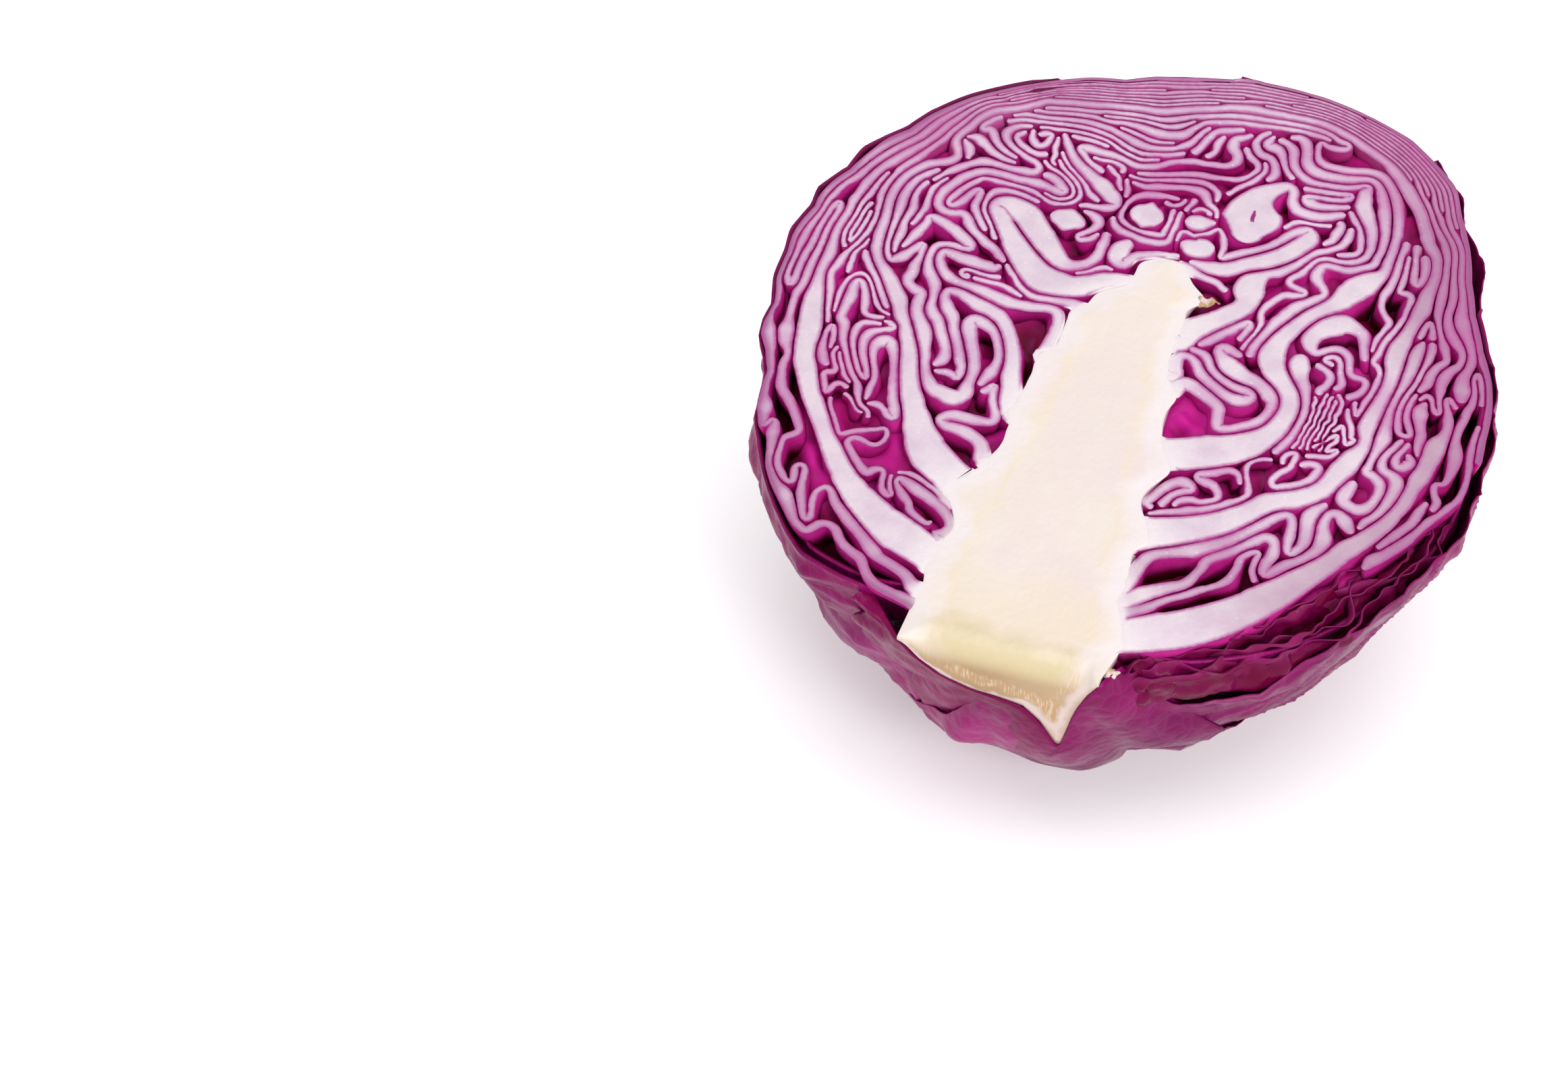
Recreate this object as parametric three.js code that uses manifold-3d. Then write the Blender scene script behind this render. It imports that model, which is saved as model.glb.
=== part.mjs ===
// Half a red cabbage, cut through the stem from top to base and lying on its round side.
// Millimetres, +Z up. The stem points towards -Y and the cut face looks up, a little towards the stem.
//
// Everything is made in the head's own frame and then leaned over as one group:
//   X across the cut face, Y along the stem from base to top, Z straight out of the cut face.
// Each leaf is a bowl: one egg shape less the next smaller egg shape, less the core, cut in half.

import * as THREE from 'three';
import { mergeVertices } from 'three/addons/utils/BufferGeometryUtils.js';
import Module from 'manifold-3d';

const wasm = await Module();
wasm.setup();

// Size of the whole head, measured from the head's origin on the stem's axis.
const HEAD_RADIUS = 76.5;
const HEAD_TOP = 95;
const HEAD_BASE = -69;
const HEAD_WIDEST = 6;
const TOP_FULLNESS = 2;
const BASE_FULLNESS = 2.3;

// How far each leaf lies inside the one around it.
const LEAF_COUNT = 20;
const STEP_SIDE = 2.5;
const STEP_TOP = 2.6;
const STEP_BASE = 4.1;
const STEP_WIDEST = 1.1;

// The core: the solid stem, narrowing to the growing tip.
const CORE_PROFILE = [
  [0, -79], [15.5, -78], [19.5, -71], [20.5, -62], [18.5, -45], [16, -20], [14, 5], [11.5, 20], [6.5, 33], [0, 39.5],
];
const CORE_SIDES = 18;

// Facets: the outer leaves are rounder than the small ones inside.
const OUTER_SIDES = 24;
const INNER_SIDES = 10;
const OUTER_RINGS = 13;
const INNER_RINGS = 7;

// How the half lies: its cut face nods towards the stem and leans to one side.
const NOD = THREE.MathUtils.degToRad(10.33);
const LEAN = THREE.MathUtils.degToRad(3.8);
const REST_HEIGHT = 72.2;
const FLAT_STEP = 2.1;

const GAP = 0.3;
const CUTTER_SIZE = 400;

const SKIN_COLOURS = ['#8a2a6b', '#93307a'];
const FLESH_COLOUR = '#d9bcd3';
const CORE_COLOUR = '#f1e6dc';

const turn = new THREE.Matrix4().makeRotationFromEuler(new THREE.Euler(NOD, LEAN, 0));
const unturn = turn.clone().invert();

function solid(geometry) {
  const bare = geometry.clone();
  bare.deleteAttribute('normal');
  bare.deleteAttribute('uv');
  const merged = mergeVertices(bare, 1e-4);
  return new wasm.Manifold(new wasm.Mesh({
    numProp: 3,
    vertProperties: merged.attributes.position.array,
    triVerts: new Uint32Array(merged.index.array),
  }));
}

function mesh(name, body, colour, roughness) {
  const { vertProperties, triVerts } = body.getMesh();
  const geometry = new THREE.BufferGeometry();
  geometry.setAttribute('position', new THREE.BufferAttribute(vertProperties, 3));
  geometry.setIndex(new THREE.BufferAttribute(triVerts, 1));
  geometry.computeVertexNormals();
  const material = new THREE.MeshStandardMaterial({ color: colour, roughness, metalness: 0 });
  const result = new THREE.Mesh(geometry, material);
  result.name = name;
  return result;
}

// A profile of [radius, height] points turned about the stem's axis, with flats beside the cut plane.
function turned(points, sides) {
  const profile = points.map(([radius, height]) => new THREE.Vector2(radius, height));
  return solid(new THREE.LatheGeometry(profile, sides, Math.PI / sides));
}

// Everything on the far side of the cut.
function cutAway() {
  const block = new THREE.BoxGeometry(CUTTER_SIZE, CUTTER_SIZE, CUTTER_SIZE);
  return solid(block.translate(0, 0, CUTTER_SIZE / 2));
}

// Everything below a level surface, given in the head's frame.
function below(level) {
  const block = new THREE.BoxGeometry(CUTTER_SIZE, CUTTER_SIZE, CUTTER_SIZE);
  return solid(block.translate(0, 0, level - CUTTER_SIZE / 2).applyMatrix4(unturn));
}

// A value that goes evenly from the outermost leaf to the innermost one.
function between(outer, inner, index) {
  return outer + (inner - outer) * Math.min(index / (LEAF_COUNT - 1), 1);
}

// The egg shape around leaf number index (0 is the outside), pressed flat where the half rests.
function egg(index, grow) {
  const radius = HEAD_RADIUS - STEP_SIDE * index + grow;
  const widest = HEAD_WIDEST + STEP_WIDEST * index;
  const up = HEAD_TOP - STEP_TOP * index - widest + grow;
  const down = widest - HEAD_BASE - STEP_BASE * index + grow;
  const rings = Math.round(between(OUTER_RINGS, INNER_RINGS, index));
  const sides = 2 * Math.round(between(OUTER_SIDES, INNER_SIDES, index) / 2);
  const points = [];
  for (let ring = 0; ring <= rings; ring += 1) {
    const angle = Math.PI * (ring / rings - 0.5);
    const power = 2 / (angle > 0 ? TOP_FULLNESS : BASE_FULLNESS);
    const reach = Math.abs(Math.sin(angle)) ** power;
    const onAxis = ring === 0 || ring === rings;
    points.push([
      onAxis ? 0 : radius * Math.cos(angle) ** power,
      widest + (angle > 0 ? up * reach : -down * reach),
    ]);
  }
  return turned(points, sides).subtract(below(FLAT_STEP * index - REST_HEIGHT - grow));
}

function core(grow) {
  const points = CORE_PROFILE.map(([radius, height], index) => {
    if (index === 0) return [0, height - grow];
    if (index === CORE_PROFILE.length - 1) return [0, height + grow];
    return [radius + grow, height];
  });
  return turned(points, CORE_SIDES);
}

const head = new THREE.Group();
head.rotation.set(NOD, LEAN, 0);

const otherHalf = cutAway();
const coreRoom = core(GAP);
head.add(mesh('core', core(0).subtract(otherHalf), CORE_COLOUR, 0.45));

for (let index = 0; index < LEAF_COUNT; index += 1) {
  const last = index === LEAF_COUNT - 1;
  let leaf = egg(index, 0).subtract(coreRoom).subtract(otherHalf);
  if (!last) leaf = leaf.subtract(egg(index + 1, GAP));
  const name = last ? 'heart_leaves' : `leaf_${String(index + 1).padStart(2, '0')}`;
  const colour = index < SKIN_COLOURS.length ? SKIN_COLOURS[index] : FLESH_COLOUR;
  head.add(mesh(name, leaf, colour, 0.4));
}

// The part's origin is on the surface it rests on, under the middle of its box.
const cabbage = new THREE.Group();
cabbage.name = 'red_cabbage_half';
cabbage.add(head);
cabbage.updateMatrixWorld(true);
const box = new THREE.Box3().setFromObject(head, true);
const middle = box.getCenter(new THREE.Vector3());
head.position.set(-middle.x, -middle.y, -box.min.z);

export default cabbage;
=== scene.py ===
"""Half a red cabbage on a pale floor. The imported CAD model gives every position, in metres. The cut face
carries each leaf as its own closed ribbon, standing on edge in the head; under it lie the core, the
folded leaf backs seen in the hollows, and the outer leaves with their ribs and curled margins."""
import math
import bpy
import numpy as np
from mathutils import Matrix, Vector


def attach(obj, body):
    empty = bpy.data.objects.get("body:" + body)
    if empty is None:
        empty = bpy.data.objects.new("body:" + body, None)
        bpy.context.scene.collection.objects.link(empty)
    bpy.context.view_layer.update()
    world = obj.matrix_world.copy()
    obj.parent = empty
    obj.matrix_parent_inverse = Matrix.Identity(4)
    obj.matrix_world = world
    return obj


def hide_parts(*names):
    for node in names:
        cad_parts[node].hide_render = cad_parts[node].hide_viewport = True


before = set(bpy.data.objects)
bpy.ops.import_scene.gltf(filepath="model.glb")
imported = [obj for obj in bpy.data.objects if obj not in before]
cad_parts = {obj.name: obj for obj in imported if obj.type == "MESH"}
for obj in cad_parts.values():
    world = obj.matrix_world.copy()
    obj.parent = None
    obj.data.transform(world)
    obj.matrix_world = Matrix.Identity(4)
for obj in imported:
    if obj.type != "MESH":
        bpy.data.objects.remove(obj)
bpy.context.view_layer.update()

# ---------------------------------------------------------------- where the cut face lies

MM = 0.001
NOD, LEAN = math.radians(10.33), math.radians(3.8)      # how the half lies on its round back
CORE_TIP = 39.5                                         # mm from the head's middle to the core's tip
AXIS_SHIFT = 4.0                                        # mm from the face's middle to the stem's axis
MIDDLE = np.array([-AXIS_SHIFT, 12.0])                  # mm, the middle that the leaves wrap round
TURN = np.array(Matrix.Rotation(NOD, 3, 'X') @ Matrix.Rotation(LEAN, 3, 'Y'))
ACROSS, UP_STEM, OUT = TURN[:, 0], TURN[:, 1], TURN[:, 2]


def node_points(name):
    """A CAD node's vertices in metres."""
    mesh = bpy.data.objects[name].data
    flat = np.empty(len(mesh.vertices) * 3)
    mesh.vertices.foreach_get("co", flat)
    return flat.reshape(-1, 3)


core_points = node_points("core")
HEAD = (ACROSS * ((core_points @ ACROSS).min() + (core_points @ ACROSS).max()) / 2
        + UP_STEM * ((core_points @ UP_STEM).max() - CORE_TIP * MM) + OUT * (core_points @ OUT).max())


def to_row(u, v, z):
    """Face places in mm (u across, v up the stem's line, z out of the cut) as points in metres."""
    u, v, z = np.broadcast_arrays(u, v, z)
    return HEAD + MM * ((u[..., None] + AXIS_SHIFT) * ACROSS + v[..., None] * UP_STEM + z[..., None] * OUT)


# ---------------------------------------------------------------- camera

CAMERA_FROM_HEAD = Vector((0.16776, -0.66843, 0.57863))     # metres from the cut face's middle
CAMERA_TILT, CAMERA_SWING = math.radians(48), math.radians(20)

scene = bpy.context.scene
camera_data = bpy.data.cameras.new("camera")
camera_data.lens, camera_data.sensor_width = 100, 36
camera = bpy.data.objects.new("camera", camera_data)
scene.collection.objects.link(camera)
camera.location = Vector(to_row(0., 0., 0.)) + CAMERA_FROM_HEAD
camera.rotation_euler = (CAMERA_TILT, 0, CAMERA_SWING)
scene.camera = camera

# ---------------------------------------------------------------- helpers for shapes
# A shape is (points in metres, faces as rows of four, values at the points for the material).


def soft_step(x, low, high):
    """0 below low, 1 above high, a smooth S between."""
    t = np.clip((x - low) / (high - low), 0, 1)
    return t * t * (3 - 2 * t)


def waves(x, y, size, seed, count=7):
    """A smooth random surface about -1 to 1: plane waves of about the given size, each in its own
    direction with its own start, added up."""
    draw = np.random.default_rng(seed)
    total = 0 * (x + y)
    for _ in range(count):
        turn, start, stretch = draw.uniform(0, 2 * math.pi), draw.uniform(0, 6.3), draw.uniform(.7, 1.5)
        way = x * math.cos(turn) + y * math.sin(turn)
        total = total + np.sin(way * 2 * math.pi / (size * stretch) + start)
    return total / math.sqrt(count) / 1.3


def bump(x, middle, width):
    """A bell: 1 at the middle, falling off over the width."""
    return np.exp(-((x - middle) / width) ** 2)


def run_along(path):
    """The length along a path up to each of its places."""
    return np.r_[0, np.cumsum(np.hypot(*np.diff(path[:, :2], axis=0).T))]


def averaged(column, width):
    """Each number replaced by the mean of the width numbers round it; the ends are held."""
    return np.convolve(np.pad(column, width // 2, mode="edge"), np.ones(width) / width, "valid")


def evened(values):
    """Each number mixed half and half with the mean of its two neighbours; the ends stay."""
    even = values.copy()
    even[1:-1] = .25 * values[:-2] + .5 * values[1:-1] + .25 * values[2:]
    return even


def ring(over, back):
    """Rows that run along one grid and back along the other, so that each row is a closed ring."""
    return np.hstack([over, back[:, ::-1]])


def stack(down, up):
    """Columns that run down one grid and back up the other."""
    return np.vstack([down, up[::-1]])


def on_ring(value, grid):
    """A value spread over the grid, for both halves of its rings."""
    value = np.broadcast_to(value, grid.shape)
    return ring(value, value)


def tube_faces(rows, around):
    """Faces of a closed tube: rows of ring points, the ring closed on itself and both ends closed by
    folding the end ring flat along its middle."""
    i, j = np.meshgrid(np.arange(rows - 1), np.arange(around), indexing="ij")
    k = (j + 1) % around
    side = np.stack([i * around + j, i * around + k, (i + 1) * around + k, (i + 1) * around + j], -1)
    h = np.arange(around // 2 - 1)
    cap = np.stack([h, h + 1, around - 2 - h, around - 1 - h], -1)
    return np.vstack([side.reshape(-1, 4), cap[:, ::-1], cap + (rows - 1) * around])


def tube(points, **values):
    """A grid of closed rings as a shape."""
    return points.reshape(-1, 3), tube_faces(*points.shape[:2]), values


def gather(parts):
    """Several shapes as one."""
    points, faces, values = zip(*parts)
    shift = np.cumsum([0] + [len(p) for p in points])[:-1]
    return (np.vstack(points), np.vstack([f + s for f, s in zip(faces, shift)]),
            {key: np.concatenate([np.ravel(v[key]) for v in values]) for key in values[0]})


def build(name, shape, material, slot, *nodes):
    """One piece from a shape, in place of the CAD nodes named. The faces are turned round when the
    closed shape's volume comes out negative."""
    points, faces, values = shape
    a, b, c, d = (points[faces[:, k]] for k in range(4))
    if ((a * np.cross(b, c)).sum() + (a * np.cross(c, d)).sum()) < 0:
        faces = faces[:, ::-1]
    mesh = bpy.data.meshes.new(name)
    mesh.vertices.add(len(points))
    mesh.vertices.foreach_set("co", points.astype(np.float32).ravel())
    mesh.loops.add(faces.size)
    mesh.loops.foreach_set("vertex_index", faces.astype(np.int32).ravel())
    mesh.polygons.add(len(faces))
    mesh.polygons.foreach_set("loop_start", np.arange(len(faces), dtype=np.int32) * 4)
    mesh.polygons.foreach_set("use_smooth", np.ones(len(faces), bool))
    mesh.update(calc_edges=True)
    mesh.validate()
    for key, value in values.items():
        spread = mesh.attributes.new(key, 'FLOAT', 'POINT')
        spread.data.foreach_set("value", np.asarray(value, np.float32).ravel())
    mesh.materials.append(material)
    piece = bpy.data.objects.new(name, mesh)
    scene.collection.objects.link(piece)
    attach(piece, "root")
    if nodes:
        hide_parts(*nodes)


# ---------------------------------------------------------------- the cut face's edge and the core's

# The cut face's edge in mm, from the top's middle down the left and down the right.
EDGE_LEFT = [(2.5,95),(-9,92.3),(-19,89.4),(-26.6,85.6),(-34,83.7),(-40.6,80.5),(-50.7,74),(-57,69),
             (-63.4,61.5),(-66.5,55.8),(-73.5,47),(-74.8,40.6),(-78.8,33),(-78.6,28),(-80.5,20),(-79.8,14),
             (-79.6,6.5),(-77.6,-0.4),(-78,-5),(-77.5,-8.8),(-75,-13),(-73,-17.8),(-71.4,-28.7),
             (-69,-33.5),(-64.8,-41.6),(-60.6,-47.9),(-55.2,-54.5),(-51,-58.5),(-40,-62),(-24,-66)]
EDGE_RIGHT = [(2.5,95),(16.5,95),(26.6,93),(36.8,89.4),(44.4,83.7),(50.5,78),(52.6,71),(55.8,64.6),
              (58.9,54.5),(62,45.6),(65.9,36.8),(69.7,29),(71.6,21.5),(72.2,14),(72.9,6.3),(73.5,0),
              (72.5,-10),(69,-20),(64,-30),(57,-40),(48,-49),(36,-57),(26,-62),(15,-66)]
TOP_OUTLINE = EDGE_LEFT[8::-1] + EDGE_RIGHT[1:9]

# The core's two edges, from the stem's end up to the growing tip: (v, u) in mm. The short spurs are
# where a leaf's stalk leaves the core.
CORE_LEFT = [(-70,-25),(-64.7,-25.3),(-61.7,-25.3),(-58.4,-24.6),(-55.7,-26.1),(-48.5,-25.5),(-46.7,-24.3),
             (-43.7,-23.4),(-40.4,-24.3),(-38,-26.4),(-34.4,-30),(-30.2,-24.9),(-26,-22.8),(-23.6,-21.9),
             (-20,-21),(-14,-21),(-12.5,-23),(-6.3,-21.3),(1,-20.7),(5.5,-21.8),(7.5,-18.4),(16,-18.2),
             (19,-19),(20,-16),(24,-15),(27.5,-12.5),(28.2,-9.5),(31,-8.5),(36,-9),(38.2,-6),(39,-3)]
CORE_RIGHT = [(-70,14.5),(-63.4,14.6),(-61,18),(-54.5,15.2),(-50,13),(-46,13.5),(-40.6,12.7),(-37,12),
              (-34.7,15.5),(-29,12.7),(-26,10),(-22,10),(-18.5,12.5),(-14.8,14),(-8.9,9.5),(-1,8),(2,9.3),
              (5.2,9),(6.4,6.6),(12,5),(16,4.8),(24,5),(27.4,4.2),(28.4,6.2),(29.6,7.8),(31.2,8),
              (32.4,6.2),(33.2,4.2),(34.6,3.2),(38.4,1),(39,-1)]
CORE_TOP = 39                                           # mm, where the core's edges meet


def polar_edge(line, side):
    """The face's edge as (angle from straight up the stem, distance from the middle), on one side."""
    du, dv = (np.array(line, float) - MIDDLE).T
    return np.arctan2(du * side, dv), np.hypot(du, dv)


RIGHT_EDGE, LEFT_EDGE = polar_edge(EDGE_RIGHT, 1), polar_edge(EDGE_LEFT, -1)


def edge_distance(angle, to_right):
    """How far the face's edge lies from the middle at an angle from straight up the stem."""
    return np.where(to_right, np.interp(angle, *RIGHT_EDGE), np.interp(angle, *LEFT_EDGE))


def inside_edge(u, v):
    """How far a place on the face lies inside its edge, in mm, on the line from the middle."""
    du, dv = u - MIDDLE[0], v - MIDDLE[1]
    return edge_distance(np.arctan2(np.abs(du), dv), du > 0) - np.hypot(du, dv)


def core_edges(v):
    """Where the core's left and right edges lie at v."""
    return [np.interp(v, *np.array(side, float).T) for side in (CORE_LEFT, CORE_RIGHT)]


def beside_core(u, v):
    """Distance to the core's nearer edge in mm; inside the core it is negative."""
    left, right = core_edges(v)
    across = np.maximum(left - u, u - right)
    return np.where(v > CORE_TOP, np.hypot(np.maximum(across, 0), v - CORE_TOP), across)


# ---------------------------------------------------------------- the leaves on the cut face, in mm
# Each leaf is (name, places along its middle, half its thickness at each place or all along).

LEAVES = {}


def leaf(name, places, half):
    half = [half] * len(places) if isinstance(half, (int, float)) else half
    LEAVES[name] = [(u, v, h) for (u, v), h in zip(places, half)]



# left side, from the rim inwards
leaf("S0", [(-64.7,60),(-67,55.5),(-69.2,51),(-71,47.2),(-72.6,43.5),(-74.6,39.5),(-76.4,35.5),(-77.6,31),
     (-78.6,26),(-79.4,21),(-79.7,16),(-79.6,11),(-78.7,6.5),(-77.4,1.5),(-77.3,-3),(-77,-6),(-76.3,-8.8),
     (-75,-12),(-73.9,-15.5),(-72.4,-18),(-71.8,-21.5),(-71.1,-24.2),(-69.9,-27),(-69.4,-29.8),(-68.8,-32),
     (-68,-31.2),(-67.1,-29.8),(-66.2,-30.6),(-66,-33),(-65.2,-36),(-64.5,-39.5),(-63.6,-42.4),(-61.6,-44.9),
     (-58.8,-47.1),(-56.4,-49.8),(-54.2,-52.8),(-51.6,-54.6),(-50.2,-53.6),(-49.2,-52),(-47.6,-51.4),
     (-45.8,-52.3),(-43.6,-54.8),(-41,-56.5),(-38.8,-57.6),(-37.3,-59.4),(-35.5,-61.7),(-32.5,-63.9),
     (-28.5,-65),(-24,-64.9)], [.8,.9,1,.8,.7,.6,.6,.6,.55,.5,.45,.45,.45,.4,.35,.8,1.2,.8,.6,.4,.5,.7,1.4,.8,
     .45,.45,.45,.6,1,.8,.55,.6,.8,1.3,1.2,.8,.6,.6,.6,.6,.7,.8,.8,.75,.75,.85,.9,.95,1.1])
leaf("S1", [(-62.9,60),(-65,55.8),(-67,51.8),(-68.8,47.8),(-70.9,43.8),(-72.9,39.6),(-74.9,35.3),(-76.4,30.5),
     (-77.4,25.5),(-78.2,20.5),(-78.6,16),(-78.5,12),(-78.3,8.5),(-77.2,6.4),(-76.3,5.6),(-75.7,6.8),(-76.2,9),
     (-76.9,11.5),(-76.6,14.5),(-75.6,16.8),(-75.2,19.5),(-75.6,22.5),(-75.9,26),(-75.3,29.3),(-73.9,30.6),
     (-72.7,29.3),(-72.9,26),(-73.4,22.5),(-73.7,20),(-73.7,15),(-74.3,10),(-74.4,5),(-73.9,1),(-73.2,-3),
     (-72.6,-6.5),(-71.8,-9),(-70.3,-12),(-70.1,-15),(-69.3,-18),(-68.2,-21.3),(-66,-23.7),(-64,-26.2),
     (-62.2,-28.8),(-61.1,-30.8),(-62.2,-32.4),(-63.4,-33.8),(-63.3,-36.5),(-63,-39.5),(-61.8,-41.9),
     (-59.7,-43.8),(-58.2,-43.7),(-58.4,-41.6),(-58.8,-39.8),(-57.6,-38.9),(-56.4,-40),(-55.9,-43),
     (-55.3,-46.5),(-54,-49.8),(-52.6,-51.9),(-51.6,-50.8),(-52.2,-47.8),(-52.5,-44.6),(-51.2,-42.8),
     (-49.8,-43.5),(-48.2,-45.8),(-45.5,-48.1),(-42,-50.7),(-38.5,-53.6),(-35.2,-55.9),(-31.5,-57.2),
     (-28.8,-58.5),(-27,-60.3),(-24.5,-62)], [.9,.9,.8,.7,.6,.6,.6,.6,.6,.6,.6,.6,.6,.8,.9,.9,.8,.8,.7,.6,.5,
     .5,.6,.7,.8,.8,.6,.6,.6,.6,.8,.6,.5,.6,1.2,1.1,.5,.5,.6,.9,.9,.7,.7,.6,.6,.45,.5,.6,.6,.5,.4,.4,.4,.45,
     .45,.45,.6,.6,.5,.4,.4,.45,.5,.55,.7,.9,.9,.9,.95,.95,1,1.2,1.6])
leaf("L2", [(-59.5,61.5),(-61.3,58),(-63.2,54),(-65,50),(-66.8,45.8),(-68.6,41.5),(-70,37),(-70.9,32),
     (-71.1,27),(-71,22),(-71,15),(-70.8,10),(-69.8,5),(-68.7,0),(-67.7,-5),(-67,-10),(-65.2,-15),(-62.4,-20),
     (-59.2,-24.8),(-55.8,-29.5),(-52,-34.8),(-48,-39.3),(-43.5,-43.2),(-38.5,-46.5),(-32.5,-49.4),
     (-25,-51.8)], [.8,.8,.8,.9,.9,.8,.8,.9,.9,.9,1,1,1.7,2.2,2.3,2.1,2,1.95,1.8,1.8,2.1,2.4,3,3.6,4.1,3.8])
leaf("Q2", [(-66.7,42.3),(-67.6,39),(-68.2,35.5),(-68.7,32.5),(-68.3,29.5),(-69,27),(-69.3,24),(-68.7,21),
     (-67.8,19.5)], .5)
leaf("Q3", [(-66.9,32.6),(-67.8,30),(-68.6,26.5),(-68.9,23),(-68.3,20.5),(-67.6,22.5),(-67.2,26),(-66.6,29.5),
     (-66.2,31.8)], .5)
leaf("Q5", [(-64.9,24),(-65.6,21),(-66.6,18.5),(-66,16),(-65.6,13)], .4)
leaf("Q6", [(-57.9,60),(-58.8,56.8),(-59.9,53.5),(-61.4,50),(-62.6,47),(-64.3,43.5),(-65.6,40.5),(-65.9,37),
     (-65.4,33.5),(-65.6,29.5),(-66,26),(-66.8,22.5),(-67.5,19),(-68.3,15),(-69.1,12),(-68.6,9.5),(-67.4,5.5),
     (-66.2,2),(-65.3,-1.2)], [.6,.6,.6,.6,.6,.6,.6,.6,.6,.6,.6,.55,.5,.6,.7,.7,.6,.6,.45])
leaf("L3", [(-55.3,61.5),(-56.2,59),(-56.3,56.7),(-55,54.3),(-54.1,52),(-55.2,50),(-57.5,48.3),(-60,46.3),
     (-62,43.5),(-63.2,40.5),(-63.9,37),(-63.9,33),(-63.4,29),(-62.9,25),(-62.2,21.5),(-60.8,18.8),(-58.3,15),
     (-55.9,12),(-53.8,9),(-52,5.8),(-50.1,2.6),(-48.3,-0.8),(-46.5,-4.4),(-45.2,-8),(-43.4,-12.2),
     (-41.4,-16.6),(-38.4,-21.6),(-35.2,-26.4),(-31.2,-29.8),(-26.5,-32.6)], [.8,.9,.9,.9,.8,.8,.9,.95,1,1,1,1,
     1.1,1.2,1.2,1.1,1.3,1.7,1.7,1.5,1.35,1.45,1.75,1.9,2,2.3,3,4,4.2,3.6])
leaf("G1", [(-55.3,61.5),(-53.6,64.8),(-51,68),(-47.5,70.8),(-43,73.3),(-38,75),(-33,76),(-27,77.3),(-22,78.6),
     (-17,79.3),(-12.5,81.3),(-8,83.4),(-3,85.6),(2,87),(8,87.8),(14,88.4),(19.5,88.6),(24,87.6),(27.5,85.8),
     (31,84),(34.5,82.2),(37.2,79.3),(39.2,76),(41.8,72.5),(44.2,69),(46,65),(47.3,61.5),(49.3,58),(50.8,54),
     (51,50),(50.7,44.5),(50.2,40),(49.6,35.5),(48.9,31),(49.4,26),(49.5,20.5),(48.9,15.3),(48.2,10.3),
     (48.9,5),(47.3,0.5),(46,-4),(44.4,-8),(41.8,-11.8),(38,-14.2),(34.2,-16.6),(30.8,-20.3),(27.2,-24.3),
     (22,-27.8),(16.5,-30.8),(10.5,-33)], [1]*21+[1.2,1.3,1.3,1.3,1.2,1,1,1,1.2,1.6,1.35,1.55,2.1,1.7,1.4,1.5,
     1.7,1.35,2.3,2.3,2.1,2.2,2.3,2.2,2.5,2.9,3.2,3.7,4])
leaf("T6", [(-65,1),(-65.3,4.5),(-65.2,8),(-64.9,10.8),(-63.8,12.9),(-61.8,13.8),(-60,13),(-58.6,11),
     (-57.2,8.5),(-55.6,6.3),(-54,4.8)], .4)
leaf("T14", [(-64.4,19.5),(-62.8,17.2),(-60.8,14.6),(-58.6,11.6),(-56.4,8.6),(-54,5.4)], .7)
leaf("T7", [(-54.2,4.4),(-55.8,3.5),(-57.7,3.3),(-58.9,4.2),(-59.4,6.5),(-60,9.3),(-61.2,11.3),(-62.7,11.6),
     (-63.4,9.8),(-63.2,7),(-63.5,4),(-63.8,1.2),(-62.6,-0.3),(-61.7,-3),(-60.8,-5.5),(-59.5,-8),(-58,-10.5),
     (-56.2,-13),(-54.2,-15),(-53,-17.5),(-51.8,-19.8),(-50,-20.9),(-48.9,-22.5)], [.5,.5,.55,.6,.6,.65,.7,.8,
     .9,1.1,1,1,1,.8,.7,.6,.6,.6,.6,.5,.5,.4,.35])
leaf("T8", [(-61.6,-8.3),(-62.1,-5.8),(-62.8,-3.2),(-63.6,-1.8),(-64.4,-3),(-64.5,-6),(-64,-8.7),(-62.9,-10.8),
     (-61.6,-12)], [.4,.5,.55,.6,.45,.55,.9,1.1,.6])
leaf("T9", [(-60.7,-7),(-61,-9),(-60.2,-11),(-59,-12.7),(-59.6,-13.9),(-61.1,-14.4),(-60.9,-16),(-60.1,-18),
     (-59.5,-19.6),(-58.7,-18),(-57.9,-16.4),(-56.6,-15.9),(-55.6,-16.4)], .45)
leaf("T10", [(-60.2,-7),(-59.4,-9),(-58.3,-11.2),(-56.9,-13.6),(-55.2,-15.4)], .4)
leaf("T11", [(-54,1.9),(-56.4,1.6),(-58.1,0.8),(-58.9,-1.5),(-58.5,-4.5),(-57.2,-7.5),(-55.3,-10.5),
     (-53.6,-12.7),(-52.5,-13.3),(-52.6,-11.9),(-54,-9.6),(-55.6,-6.6),(-56.3,-3.5),(-55.4,-0.8),(-53.6,0.5),
     (-51.7,1.3),(-51.2,2.2),(-52.6,2.6),(-54.5,2.2)], [.5,.5,.5,.5,.5,.5,.5,.5,.6,.6,.7,.85,.9,.8,.6,.6,.7,.6,
     .5])
leaf("T12", [(-50.9,-18.2),(-51.1,-15.5),(-51.6,-12.5),(-52.7,-9.5),(-53.7,-6.8),(-53.9,-4.3),(-52.8,-2.6),
     (-51,-2.2),(-49.6,-3.8),(-48.6,-6.5),(-47.8,-9.5),(-46.9,-13),(-45.7,-16.3),(-44.2,-19.3),(-43.9,-21),
     (-45.2,-21),(-46.6,-19.6),(-48.3,-18.8),(-50,-19.2)], [.5,.55,.6,.6,.7,1.1,1.5,1.5,1.1,.8,.7,.8,.9,1.2,.8,
     .7,.6,.6,.5])
leaf("T13b", [(-55.5,-18.6),(-54,-19.2),(-52.8,-20.5),(-51.5,-21.8),(-50.5,-21.8)], .25)
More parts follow.
